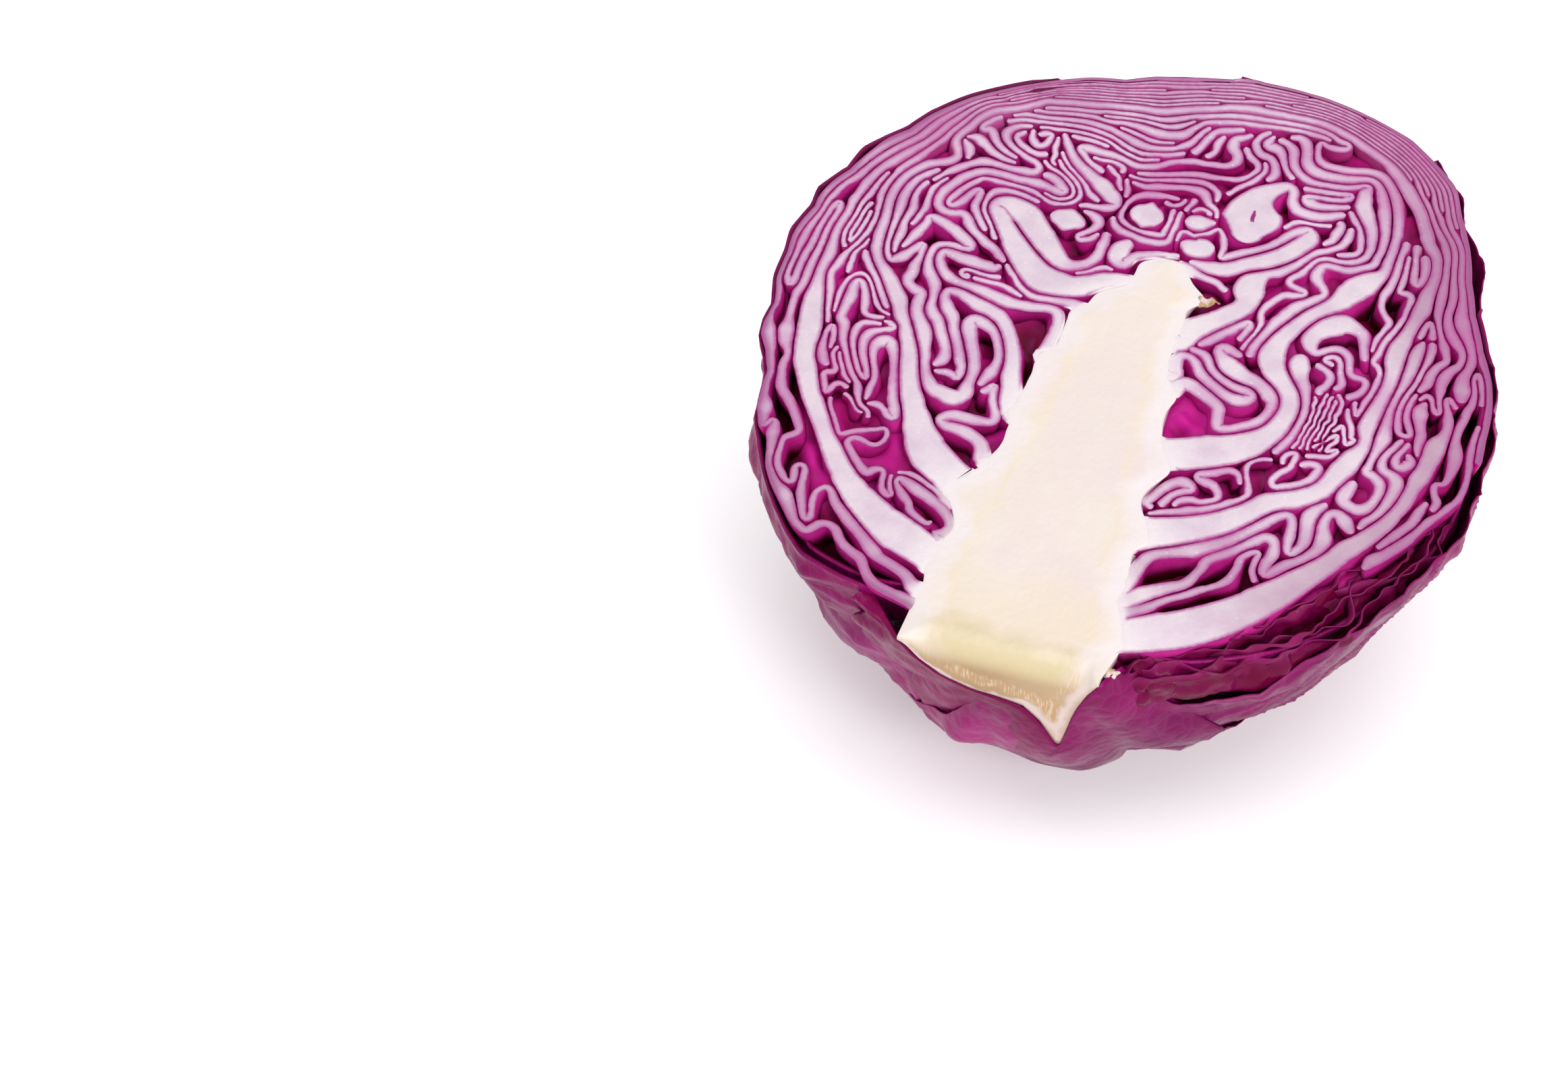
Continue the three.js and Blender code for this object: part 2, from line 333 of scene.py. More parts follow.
leaf("K1", [(-57.8,-20.5),(-57.4,-22),(-56.5,-23.5),(-55.2,-25.5),(-54.2,-27.5),(-53.2,-28.9),(-51.8,-28),
     (-50,-26.7),(-47.6,-25.7),(-46,-25),(-44.8,-24.3),(-43.9,-25.3),(-43.8,-27),(-44.7,-28.7),(-46,-29.2),
     (-48,-28.8),(-49.8,-28.7),(-50.8,-29.8),(-50.3,-31),(-48.5,-33),(-46.5,-35),(-44.6,-36.3),(-43.4,-35.2),
     (-42,-34.6),(-41.2,-35.5),(-40.9,-37.5),(-40.2,-39.3),(-38.8,-40.4),(-38,-40.1),(-38.6,-38.8),(-39.3,-37),
     (-39.5,-35.5)], [.3,.3,.3,.35]+[.4]*11+[.45,.45,.45,.5,.6,.7,.9,.7,.5,.45,.4,.4,.4,.35,.35,.35,.35])
leaf("P", [(-28.3,-44),(-28.8,-44.6),(-30,-44.2),(-31.8,-43.3),(-33.3,-42.3),(-34,-41),(-35.5,-39.8),
     (-37.3,-38),(-38.3,-36.5),(-37.9,-35.3),(-36.5,-35.6),(-34.5,-36.6),(-32,-37.7),(-30,-38.6),(-28,-39.6),
     (-26.3,-40.9),(-25,-42.5),(-24.5,-44),(-25.2,-45.8),(-26,-46.5)], [.3,.4,.45,.5,.55,.6,.6,.5,.4,.6,.8,.95,
     1.1,1.1,1,.9,.7,.55,.4,.3])
leaf("P1", [(-38.3,-34.2),(-36,-33.8),(-33.5,-33.9),(-31.5,-34.6),(-29.8,-35.2),(-28.6,-36.3),(-27.6,-37.6)],
     .4)
# inside left
leaf("FB", [(-21,-11),(-23,-9),(-24.2,-5),(-25,-1),(-26,2.5),(-27.4,5.7),(-29.2,8.6),(-31.2,11.3),(-34,12.7),
     (-38,13.8),(-41.5,15.2),(-44.2,15.1),(-44.4,13),(-43,11.2),(-41,8.8),(-39.4,5.5),(-37.7,2),(-36.2,-1),
     (-34.9,-4),(-35,-6.5),(-36.3,-6.2),(-38,-6),(-39.7,-6.3)], [2.3,2.3,2,1.7,1.6,1.5,1.5,1.5,1.35,1.3,1,.9,1,
     1.1,1.1,1.1,1,.9,.9,.9,.8,.7,.5])
leaf("A", [(-20.3,5),(-19.9,8),(-19.7,12),(-19.9,15),(-21,17.2),(-23.5,17.6),(-27,16.6),(-31,16.3),(-35,17),
     (-40,17.9),(-43.5,18.3),(-46.3,18.9),(-48.6,20.9),(-49.9,23),(-48.8,24.9),(-46,24.9),(-42.5,24.4),
     (-39,24.4),(-36.5,24.8),(-35.8,25.7)], [.8,1.1,1.1,1.1,1.1,1.1,1.2,1.2,1,.9,1,1.1,1,.9,1,1.2,1.4,1.3,.9,
     .6])
leaf("R2", [(-57,47),(-58.8,44.8),(-60.6,42.3),(-61.3,39),(-61.6,35.5),(-61.3,31.5),(-60.9,27.5),(-60.4,23.5),
     (-59.6,20.3),(-58.6,19.1),(-57.2,20.2),(-55.8,22),(-54.3,24.2),(-53,25.7),(-52.2,24.2),(-52.2,21.5),
     (-52.6,18.5),(-52.9,14.6),(-51,13.3),(-49.2,12.6),(-48.7,10.5),(-48.6,8),(-47.5,5.8),(-46,3.6),
     (-44.5,0.5),(-43.2,-3),(-41.6,-7.5),(-39.5,-10.6),(-37,-11.4),(-34.5,-11.9),(-32.4,-10.6),(-32,-7),
     (-32.6,-3),(-34,0.8),(-35.8,4),(-37.3,7),(-36.5,9.3),(-33.5,8.9),(-31,7.4),(-29.4,4.2),(-28.4,1),
     (-28.7,-2),(-29.4,-5),(-30,-7.5)], [.7,.8,.9,1,1,.8,.6,.5,.6,.7,1.1,1.2,1,.8,.7,.8,1,1.1,1,1.1,1.1,1.3,
     1.4,1.4,1.1,.9,1,1.4,1.7,1.9,1.5,1.1,1.1,1.2,1.3,1.6,1.4,1.3,.9,.8,.8,.9,1,.8])
leaf("F", [(-29.2,-7.4),(-27.8,-6.2),(-26.7,-5.6),(-26.1,-8),(-25.2,-11),(-24.2,-13.6),(-24.8,-15.5),
     (-28,-15.9),(-31.5,-16),(-34,-17),(-34.8,-18.5),(-33,-19.4),(-29.5,-19.8),(-26.5,-20.6),(-24.6,-22.2),
     (-23.6,-24.8)], [.8,.8,.8,.8,.8,.9,.9,1,1,1,.9,.9,1.2,1.3,1.3,1])
leaf("RL3", [(-59.5,43.5),(-59.9,40),(-59.3,37),(-58.6,34.5),(-58.9,32),(-59.2,29.8),(-58.7,27),(-58.4,24),
     (-58.5,21.5)], [.5,.5,.55,.6,.6,.8,.9,.8,.5])
leaf("R4l", [(-55.3,45.5),(-56.3,42),(-56.3,38.5),(-56,35),(-56.7,32),(-57.6,30.2)], .4)
leaf("R5l", [(-57.4,22),(-56.3,24.8),(-55.4,28),(-54.4,31),(-54.3,33.4),(-52.5,33.1),(-49.8,32.2),(-47,31),
     (-44.5,29.6),(-43.4,28),(-44.8,27.2),(-47.5,27.3),(-49.8,26.7),(-50.8,24.7),(-50.7,22),(-49.8,19.8),
     (-48.2,17.6),(-46.9,15.5),(-46.5,12.5),(-46.6,10),(-45.5,8),(-43.5,6.6),(-42,4.6),(-40.6,2.2),
     (-39.5,-0.5),(-39.3,-3),(-40.3,-4.5)], [.6,.8,.9,.8,.8,.9,1.1,1.2,1.2,.9,.6,.6,.7,.8,.9,1.1,1.2,1,.8,.9,
     1.1,1,1,1,1,1,.9])
leaf("R7", [(-41.8,21.2),(-41.2,20.4),(-42.4,19.9),(-43.2,20.9),(-42.6,22),(-40.5,22.1),(-37.5,21.8),
     (-35.2,22.1)], .45)
leaf("R9", [(-40.6,20.2),(-37.5,20.4),(-34,20.2),(-31.5,19.6),(-29.4,18.8)], .4)
leaf("R8", [(-33.9,27.6),(-32.2,25),(-30.9,22.7),(-29.3,20.6),(-27,19.4),(-24.5,19.5),(-21.5,20.3),(-19,20.6),
     (-16.5,19.6)], [.5,.55,.5,.5,.6,.8,.9,.9,.9])
# upper left
leaf("W1", [(-35,53),(-33,52.9),(-30.7,51.6),(-29.2,49.8),(-30.4,48.8),(-33,49.6),(-36,50.1),(-40,49.8),
     (-44,49.9),(-47,49.1),(-49.6,47.3),(-51.9,44.8),(-53.6,41.5),(-53.9,38),(-52.4,36.3),(-50,36.1),
     (-47.8,36.8),(-45.8,36.4),(-44,34.9),(-42.3,33),(-40.8,31),(-38.5,29),(-36.6,27.2),(-35.6,25.9)], [.9,1.1,
     1.1,1,.9,1,1.1,1,.9,.8,.8,.9,1,.9,.7,.7,.8,1,1.1,1,.9,.8,.8,.6])
leaf("W2", [(-33.5,58),(-31.3,56.3),(-28.6,54.3),(-26.6,52),(-26,49.8),(-27,47.7),(-29,46.6),(-31.8,46.6),
     (-34.5,47.5),(-37.5,47.9),(-41,47.9),(-45,47.9),(-47.5,47.5),(-49.7,44),(-51.3,41),(-52,38.8),(-51,37.8),
     (-49.7,39),(-48.6,41.3),(-47.5,43.6),(-46.3,44),(-45.9,41.8),(-45.9,39.5),(-44.9,37.3),(-43.2,35),
     (-41.4,32.8)], [.5]*13+[.55,.55,.55,.55,.6,.6,.6,.6,.65,.7,.8,.8,.8])
leaf("X2", [(-36,56.5),(-33.5,55.3),(-30.6,53.7),(-28.2,51.6),(-27.4,49.4),(-28.6,47.9),(-31,47.4),
     (-33.6,48.4)], .45)
leaf("X3", [(-33.2,46.8),(-35.5,46.2),(-38.5,46.3),(-41.5,46),(-43.7,44.6),(-44.4,42),(-44.2,39.3),
     (-42.8,36.9),(-40.8,34.4),(-39,32.6)], .5)
leaf("X5", [(-33,60.5),(-31.8,57.8),(-29.3,55.4),(-26.8,53.2),(-25.2,51),(-23.5,50),(-22,48.9)], .45)
leaf("W4", [(-56.4,43.5),(-54.8,46.3),(-52.6,48.9),(-50.3,51.3),(-47.5,52.6),(-44,52.6),(-40.5,52.4),
     (-37.5,52.6),(-36.4,54),(-37.5,55.6),(-40.3,56.6),(-43,57.9),(-45.4,59.9),(-46.2,62.4),(-44.8,64.8),
     (-42,66.2)], [.5,.6,.6,.7,.8,.8,.9,1,.8,.7,.7,.7,.8,.9,.8,.6])
leaf("W5", [(-54.8,57.9),(-52.3,58.1),(-49.8,57),(-47.5,55.5),(-45,54.6),(-42.2,54.2)], [.4,.8,.9,.8,.8,.5])
leaf("W6", [(-54.9,57),(-53.4,55.3),(-52,53.2),(-51.3,51.6)], [.4,.9,.9,.4])
leaf("W7", [(-50.3,67.5),(-51.8,65.5),(-52.9,63.4),(-52,61.6),(-50.2,61.6),(-48.8,60.2),(-47.2,57.9),
     (-44.8,56),(-42.3,54.8)], [.5,.6,.6,.7,.7,.6,.7,.7,.6])
# centre
leaf("V", [(-10.2,29.6),(-13,29.3),(-16.5,27.2),(-20,25),(-23.8,24.5),(-27,25),(-29.8,26.8),(-32.5,29.3),
     (-35.7,32.8),(-38.8,36.2),(-41.3,39),(-42.2,41.2),(-40.6,42.4),(-37.9,41.9),(-34.8,40),(-31.6,37.3),
     (-28.7,34.4),(-26,31.9),(-23.6,30.4),(-21.2,30.3),(-19,31.7),(-17.8,34.2),(-17.5,37.3),(-18,41)], [1.3,
     1.9,2.4,2.9,3.3,3.5,3.3,3,2.4,2.1,1.9,1.6,1.6,2.6,3.1,2.9,2.7,2.3,1.7,1.3,1.1,1,.9,.8])
leaf("V2", [(-20.5,29.2),(-18.3,30),(-16.5,31.6),(-15,32.3),(-13.6,32.2)], .4)
leaf("B1", [(-28.6,42.4),(-26.3,42.3),(-24,42)], [2.2,3.4,1.8])
leaf("B2", [(-13,49.4),(-11,49.3),(-8.9,49.2)], [2.6,3.9,2.7])
leaf("B4", [(-1.2,44.2),(1.3,43.8),(3.8,44.3)], [1.4,2.6,2.9])
leaf("B4b", [(-1.6,50.2),(0.5,50.7),(2.7,51.6)], [2.2,2.2,1.1])
leaf("B3", [(-12.6,40.6),(-13.3,38.2),(-13.4,35.8),(-12,34.6),(-10.7,36),(-9.6,37.6),(-7,38.8),(-4,39.9),
     (-1.5,40.3)], [1.2,1.9,2,1.7,1.1,.9,.8,.6,.4])
leaf("B5", [(10.6,51.5),(10.4,55.5),(9.8,59),(10.3,62),(11.8,64.6),(13.9,66.3),(15.6,67),(16.8,65.8),
     (17.2,63.4),(18.6,61.5),(21.2,60.8),(24,61.2),(26.3,62.4),(28.2,63.8)], [3.4,6.2,5.3,3.2,2.2,1.4,1,.9,1.1,
     1.2,1.4,1.3,1.2,1])
leaf("B1b", [(-24.3,46.4),(-21.8,45.7),(-20,44),(-20.2,42),(-21.8,40.5),(-23.2,39),(-22.2,37.9),(-20.3,38.9),
     (-18.6,40.9)], [.6,.9,.8,.7,.6,.6,.6,.6,.5])
leaf("PL", [(-24.8,47),(-21.8,47.6),(-19.2,48.3),(-17.3,49.6),(-18.3,51.3),(-20.5,53),(-23,54.7),(-26,56.5),
     (-29,58.3),(-31.3,60.8),(-33,63.3),(-34.4,65.6)], [.6,.8,.8,.9,1.6,1.7,1.6,1.4,1.2,1,.8,.7])
leaf("Y1", [(-5.9,53),(-6,50),(-5.9,47),(-6,44.9),(-8.5,44.6),(-12,44.7),(-14.8,45.7),(-16.2,46.9),
     (-16.1,49.7),(-15.5,52.2),(-13.6,54.3),(-11,55.2),(-8.3,55.5),(-5.8,55.6)], .5)
leaf("Y2", [(-4.3,52.5),(-4.4,49),(-4.5,45.8),(-4.6,43.6),(-7,42.5),(-9.5,42.2),(-12.3,42.7),(-14.7,43.2),
     (-16.4,44.4),(-17.2,46.2)], [.6,.6,.6,.7,.7,.7,.8,.7,.6,.5])
leaf("Z1", [(2,40.2),(6,39.6),(9.5,40.6),(13,42.6),(16.3,45.2),(19.3,48),(21.8,51),(23.4,54),(22.8,56.6),
     (20.6,55.4),(18.9,53),(16.5,50),(13,47.2),(9.8,44.6),(7.3,42.8),(6.5,44),(6.6,46.5),(5.8,49),(4.5,50.8),
     (3.3,50.6),(1.5,48.5),(0,46.8),(-1.5,47.8),(-3.2,47),(-3.3,44.5)], [.9,1.7,1.8,1.8,2,2.1,2.2,1.9,1.2,1,.9,
     .8,.8,.8,.7,.5,.5,.5,.5,.45,.4,.4,.4,.4,.4])
leaf("K6", [(17.7,55.9),(18.9,57.7),(20.6,58.9),(23.5,59),(26.5,59.6)], .45)
# right of the core
leaf("C1", [(6,19),(8.5,23),(11.5,26.3),(14.3,29.3),(15.6,32.5),(15.3,36),(15.3,39),(17.2,41.7),(19.8,43.3),
     (22,45.6),(24,48.5),(25.5,51),(28,52.8),(30.2,55),(30.8,57.5),(30.8,60)], [3,2.7,2.3,2.3,2.1,2.9,3,1.2,1,
     .9,.8,.8,.8,.8,.8,.8])
leaf("C2", [(2,37.5),(5,36.8),(8,36.2),(10.4,34.6)], [.8,.8,.7,.6])
leaf("C3", [(7.6,18.6),(10.5,21),(13.3,23.8),(15.6,26.7),(17.4,28),(18.6,26.8),(18.2,24.6),(17.4,22.8)], [.8,
     .8,.9,.9,.9,.8,.7,.5])
leaf("H3", [(9.8,78.6),(11.8,78.6),(13.3,77),(13.8,74.6),(14.9,72.5),(17,70.9),(20,70),(23.5,70.4),(26.8,71),
     (28.6,72.3),(30.6,73.6),(31.9,73.2),(31.3,70.5),(31.6,67.5),(33,64.6),(34.8,61.8),(35.9,58.5),(36.4,55.5),
     (35.6,53),(33.5,51.3),(31,50.3),(28,50.2),(26,49),(25.3,47),(24.2,44.4),(22.8,42.6),(22.9,41),(24.8,40.4),
     (26.6,39.9),(26.6,38.6),(24.6,38.2),(22.4,37.4),(21,35.3),(19.9,32.8),(19.6,30.6),(20.4,28.5),(20,25.8),
     (18.8,23),(18.3,20.5)], [.8,.9,1,.9,.8,.8,.8,.8,.8,.6,.5,.6,1.3,1.6,1.5,1.2,1,.9,.8,.7,.6,.6,.6,.6,.6,.65,
     .65,.6,.6,.6,.6,.7,.65,.5,.45,.5,.45,.45,.45])
leaf("H2", [(12.3,80.6),(13.8,81.6),(15.5,80.7),(16.7,78.2),(17.1,75.7),(18.8,73.6),(22,72.7),(26,73),
     (29.3,74.3),(31.8,75),(34,73.3),(35.7,70),(36.8,66.5),(38,63),(39.2,59.5),(39.3,56.5),(38.5,54),
     (38.3,51.3),(36.2,49.7),(33.2,48.6),(30.5,48.9),(28,48.6),(27.2,46.3),(28,44),(29.8,42.2),(31.1,40.4),
     (30.6,38.7),(28.8,37.3),(26.5,35.5),(24.6,32.8),(23.2,30),(22,27.3),(21,24.5),(20.2,22),(19.7,19.5)], [.7,
     .8,.9,1,1.1,1.2,1.3,1.2,.9,.8,.9,1,1,.9,.8,.8,.8,.8,.8,.8,.8,.9,1.2,1.1,.8,.7,.8,1.1,1.2,1.2,1.1,1,.9,.9,
     .9])
leaf("H1", [(-44,71.5),(-39,73),(-33,74.6),(-27,75.8),(-21,76.6),(-16,76.6),(-12,78.4),(-8,80.8),(-3,82.6),
     (2,83.6),(7,84.6),(11.5,86),(16,86.6),(19.5,85.8),(21.8,84),(24,83.6),(24.6,82.3),(22.8,81.1),(20.3,81.3),
     (18.6,82),(18.2,80),(18.6,78),(20,76.2),(23,75.6),(27,75.9),(30.5,76.8),(33.5,76.2),(36,73.8),(38,70.5),
     (39.6,67),(40.5,62.5),(40.8,58),(41.1,54),(41,50.5),(38.3,47.5),(36.2,44),(34.5,40.8),(32.3,37.5),
     (30.3,34.3),(28,31),(25.9,27.8),(24.6,24.5),(24.3,21),(26,17.8),(29,14.8),(31.3,11.6),(32.2,8),(31.6,4),
     (29.9,0.4),(26.6,-3.4),(22,-6.5),(16.5,-9.4),(10.5,-11.6)], [.6,.6,.6,.6,.6,.55,.6,.7,.7,.65,.65,.7,.7,.6,
     .5,.5,.5,.6,.6,.5,.5,.6,.8,.9,.9,.9,.9,.9,.9,.9,.9,1,1,1.2,2.6,2.9,2.4,1.8,1.6,1.6,1.7,2.2,2.6,2.4,2,2,2,
     2.2,2.5,3.3,3.9,4.1,3.4])
leaf("N1", [(8,5.5),(9.8,7.6),(12.5,7.4),(15.5,6),(18,4),(18.7,1.2),(19.3,-1.1),(21.5,-1),(24,0.7),(26.8,2.7),
     (28.6,5.3),(28.8,8.3),(27.3,10.7),(24.3,12.3),(20.5,13.5),(17,15.2),(14.7,17.3),(14.5,19.2),(16.5,19.5),
     (18.5,19)], [1.2,1.5,1.5,1.4,1.2,1.1,1.1,.9,.9,1,.9,1.1,1.5,1.3,1.8,2.2,1.3,1.2,1,.9])
leaf("N2", [(6.9,9.6),(6.4,11.8),(6.7,14.2),(8.3,15.2),(10.3,13.9),(12,11.7),(14.3,9.8),(17,8.1),(19.7,7.1),
     (22.3,7.3),(23.7,9),(22.3,10.3),(19,10.3),(16,11.2),(13.7,13.2),(12.2,15.8),(10,17.3),(7.5,17.8)], [.9,
     1.3,1.1,.8,.9,1.1,1.2,1.2,1.2,1.3,.9,.9,.9,.9,.9,.9,.8,.8])
leaf("D1", [(43.4,26.6),(42.3,29.6),(41,32.6),(38.6,34),(36,34.3),(33.2,33),(31.4,30.3),(31,27.4),(32.2,25.2),
     (33.6,24.9),(35.2,26.2),(37.3,27.3),(39.3,26.3),(40.3,23.8),(41,21.7),(42.8,21.2),(44.4,21),(45,19.2),
     (44.2,17.2),(42.6,15.6)], [.7,.9,1.2,1.7,2.6,2.6,2,1.7,1.1,.8,.8,.8,.8,.7,.7,.6,.6,.6,.7,.7])
leaf("D2", [(36.9,22.6),(35.3,22.9),(35.4,24.2),(37,25),(38.5,24.2),(39.2,22),(39.9,19.6),(40.3,18),
     (39.3,16.8)], .55)
leaf("D3", [(34.9,22.2),(36.4,21.3),(37.8,19.5),(37.9,17),(37.5,14.8),(38,13.4)], .75)
leaf("D4", [(30.6,22),(30.7,19.5),(31.6,17),(32.8,14.8),(34.2,12.5),(35.3,9.5),(35.5,5.5),(34.6,2),(33.2,-0.8),
     (31.8,-3)], [1.6,2,1.5,1.1,.9,.8,.8,.8,.9,.9])
leaf("D6", [(44.6,57),(44.8,53),(44.9,49.5),(45.2,46.6),(46.8,46.6),(48.2,45.7),(48,42.5),(47.9,39.5),
     (46.9,36),(45.8,32.5),(45,29),(44.8,26.3),(46.3,25.4),(47.8,23.6),(47.9,21),(47,17.8),(46,14.6),
     (45.3,11.2),(44.5,13),(44.2,14.6)], [.5,.45,.5,.55,.7,.7,.5,.45,.6,.7,.6,.5,.5,.5,.5,.5,.5,.45,.45,.4])
leaf("D7", [(42.5,60),(42.8,56),(43,51.5),(43,47.5),(42.4,44.5),(42.6,41.5),(44.2,39),(45.4,37.6),(44.7,35),
     (44,31.8),(43.7,28.5)], [.7,.7,.8,.8,.6,.55,.6,.7,.5,.45,.4])
leaf("E1", [(45.6,60),(46.4,56.5),(46.9,53),(47.6,50.2),(48.8,50.1),(49.4,52.5),(49.3,55.5),(48,58.5)], [.6,.6,
     .6,.6,.6,.7,.9,1])
leaf("E2", [(52.4,36),(52.7,38.5),(53.5,40.8),(54.5,38.8),(55.1,36.4)], [.6,.5,.35,.5,.6])
leaf("E3", [(53.2,34.8),(52.7,31.5),(52.9,28),(52.6,24),(51.9,20),(51.5,15.5),(51.8,11),(51.8,7),(51.2,3.5),
     (51,0),(50.9,-2),(53.2,-3),(55,-5),(55,-8.5),(53.6,-11.2),(51,-12),(48.3,-10.8),(47.4,-8.3),(48.8,-5.8)],
     [.5,1.2,1.3,1.1,.7,.7,1,1.5,.9,.7,.9,1,1,.9,1.2,1.2,1.3,1.5,1])
leaf("E4", [(55.2,35.5),(55.7,32.5),(55.2,28.5),(54.4,24.5),(53.6,20.5),(53,16),(53.5,12.3),(54.5,9.9),
     (56.2,9.5),(57,10.5),(56.3,12.3),(55,14.5),(54.6,18),(55.2,21)], .5)
leaf("E5", [(53.5,60),(53.3,56),(53.4,51.5),(53.8,47.5),(54.8,43.5),(55.8,40),(56.8,37),(58.3,34.3),(59,31.8),
     (57.6,29.5),(56.7,27),(56.6,24.7),(55.6,22)], [.6,.6,.7,.8,.6,.5,.5,.55,.5,.55,.9,.9,.5])
leaf("E6", [(57.1,19.5),(57,17.2),(57.9,14),(58.9,11),(59.2,8),(59.8,5.5)], [.6,1.4,1.1,.8,.6,.4])
leaf("E7", [(54.5,62),(55.5,58),(56.2,54),(56.9,50),(56.6,46.5),(56.2,44),(57,41),(58.3,38.8),(60.5,36.5),
     (61.9,34.3),(62,31.5),(60.6,29.3),(59.8,26.5),(60.2,23.5),(60.8,20.5),(61.5,18.3),(60.9,17.3),(59.8,18.6),
     (58.8,20.8),(57.4,21),(56.4,19.3)], [.55,.55,.55,.6,.6,.7,1,1,.7,.6,.5,.6,.9,.6,.5,.4,.4,.4,.4,.4,.4])
leaf("E8", [(55.8,61),(57,57.5),(57.9,53.5),(58.8,49.5),(59.8,46),(60.7,43),(61.7,40.3),(63.2,37.5),(64,34.5),
     (64.1,31),(63.8,28),(64.3,24.8),(64,22)], [.6,.6,.6,.7,1.1,1.6,1.1,.8,.7,.7,1,1.6,1.2])
leaf("R1", [(63.9,20.3),(62.9,21.8),(61.9,22.3),(61.4,21),(62.3,19.3),(63.3,16.5),(63.6,13),(62.6,9),(62.2,5),
     (61.4,0.5),(60.3,-4.5),(59.1,-9.5),(57.3,-14.5),(54.3,-19.6),(50.9,-25.2),(47.2,-31),(41.6,-38.7),
     (34.6,-46.4),(26.8,-52.6),(18,-57.3),(12,-59.5)], [.5,.5,.5,.5,.6,.7,.8,1.7,1.8,1.6,1.3,1.2,1.4,1.8,2.1,
     2.5,3.3,4,4.4,4.1,3.8])
leaf("E9", [(56,8.6),(55.3,6.5),(54,4.3),(53.2,1.5),(54.2,-0.6),(56.3,-1),(58,-2.8),(57.8,-6),(56.9,-9.5),
     (55.6,-12.7),(54.2,-15.2),(53.4,-17.5)], [.5,.6,.7,.8,.9,1,1.3,1.2,1,.8,.7,.6])
leaf("E10", [(56.6,7.9),(56,5.5),(55.3,3.3),(56.4,1.4),(58.3,2),(59,3.7),(57.8,4.8)], [.5,.6,.7,.9,1.1,1,.6])
leaf("E11", [(52.4,-17.8),(50.7,-16),(48.5,-14.4),(46.6,-15.2),(46.4,-18.3),(47.4,-21.5),(47,-24.8),
     (44.6,-27.6),(41.8,-30.4),(39.8,-33),(38.4,-33.8),(38,-31.2),(38.9,-28),(38,-25.4),(35.8,-24.9),
     (33.5,-26.6),(31.2,-29),(28.8,-31.4),(26.8,-34),(26.2,-37),(25.2,-39.8),(24,-42),(21.3,-44),(18.3,-46.5),
     (16,-49),(14.6,-50.6)], [.9,1.5,1.1,.9,1,1.4,1.1,.9,.8,.8,.8,1,1,1,1,1,.9,.9,.9,.8,.8,1,1.3,1.6,1.5,.9])
leaf("E13", [(44.6,-12.6),(43.2,-15),(43,-18.5),(43.9,-22),(43.9,-25),(42.3,-27.4),(41,-26),(40.7,-22.5),
     (40.2,-19),(38.4,-17.8),(35.8,-20.3),(33,-23.3),(29.8,-26.3),(26.4,-29.6),(23,-32.3),(19,-34.7),
     (16.3,-36.6),(14.7,-39.5),(14,-43),(12.5,-46.5)], [.8,1.4,1.4,1,.8,.8,.7,.8,.9,.9,1,1.1,1.2,1.4,1.5,1.1,
     1.1,1.2,1.3,1.3])
leaf("E14", [(37,-36.3),(36,-34),(36.2,-31),(36.3,-29.3),(34.9,-29.3),(33.2,-31.2),(32.9,-34.5),(32.3,-37.5),
     (30.6,-39.7),(28,-41.8),(25.4,-44),(22.5,-46),(19.8,-48.2),(17.5,-50.2),(14.9,-52)], [.35,.4,.45,.5,.5,.5,
     .6,.8,.6,.6,.7,.7,.8,.9,1])
leaf("PR1", [(32,-5.7),(29.6,-6.4),(27.9,-8.3),(28.2,-11.2),(29.4,-13.6),(30.3,-16.2),(29.4,-19.2),
     (26.8,-21.6),(23,-23.6),(19,-25),(15.5,-25.9),(12.8,-27)], [.3,.35,.4,.45,.5,.5,.55,.7,.8,.8,.7,.5])
leaf("PR2", [(27.7,-13.5),(26.8,-11.4),(24.3,-11),(21.5,-12.6),(19,-14),(19.3,-15.6),(22,-15.9),(23.6,-17),
     (24.6,-19.2),(24.2,-21),(21.8,-22),(19.5,-21.2),(17.5,-22),(17,-23.8)], [.4,.6,.7,.8,.8,.9,.9,.8,.6,.6,.6,
     .6,.6,.6])
leaf("PR3", [(12.9,-26.6),(11.5,-25),(12.3,-22.5),(13.8,-19.5),(15.8,-17.3),(18,-17),(19,-18.5),(17.3,-20),
     (15.5,-22),(14.6,-24.5)], [.5,.6,.7,.8,1,1.2,.8,.6,.6,.7])
leaf("F1", [(34.5,-5.5),(34,-4),(34.9,-2.6),(36.4,-2.2),(36.6,-4.2),(35.9,-6.6),(34.2,-8.8),(33.6,-11),
     (34.8,-12.4),(37.5,-11.6),(40.3,-10),(42.4,-8.4),(43.2,-6.3),(42,-4.3),(39.5,-3.9),(38.2,-4.6)], [.35,.4,
     .5,.5,.5,.55,.6,.6,.6,.7,.7,.8,.8,.8,.8,.7])
leaf("F2", [(38.8,-2.6),(40.6,-1.4),(42.8,-0.2),(43.8,1.2),(42.8,1.7),(41,0.4),(40.3,0.8),(41.6,2.4),(43,4.2),
     (42.9,5.6),(41.5,4.6),(39.6,2),(38.9,0.6)], .5)
leaf("F3", [(43.7,12.5),(44.2,10),(45,7.5),(46,5),(47.4,4.8),(47.2,3.3),(45.5,3),(44.3,4.8),(43.6,7.2),
     (42.6,7.8),(41.5,6.8),(40.3,4.6)], .45)
leaf("O1", [(70.2,23),(69.6,26),(68.4,29),(67,31),(66.1,29.5),(66.3,25),(66.5,19),(66.2,13),(67,8.5),(67.3,4),
     (66.7,0.3),(65.2,-0.4),(65.3,-2.6),(66.6,-4.7),(66.3,-7)], [.4,.5,.6,.4,.35,.5,.6,.5,.9,.8,.4,.4,.5,.5,
     .5])
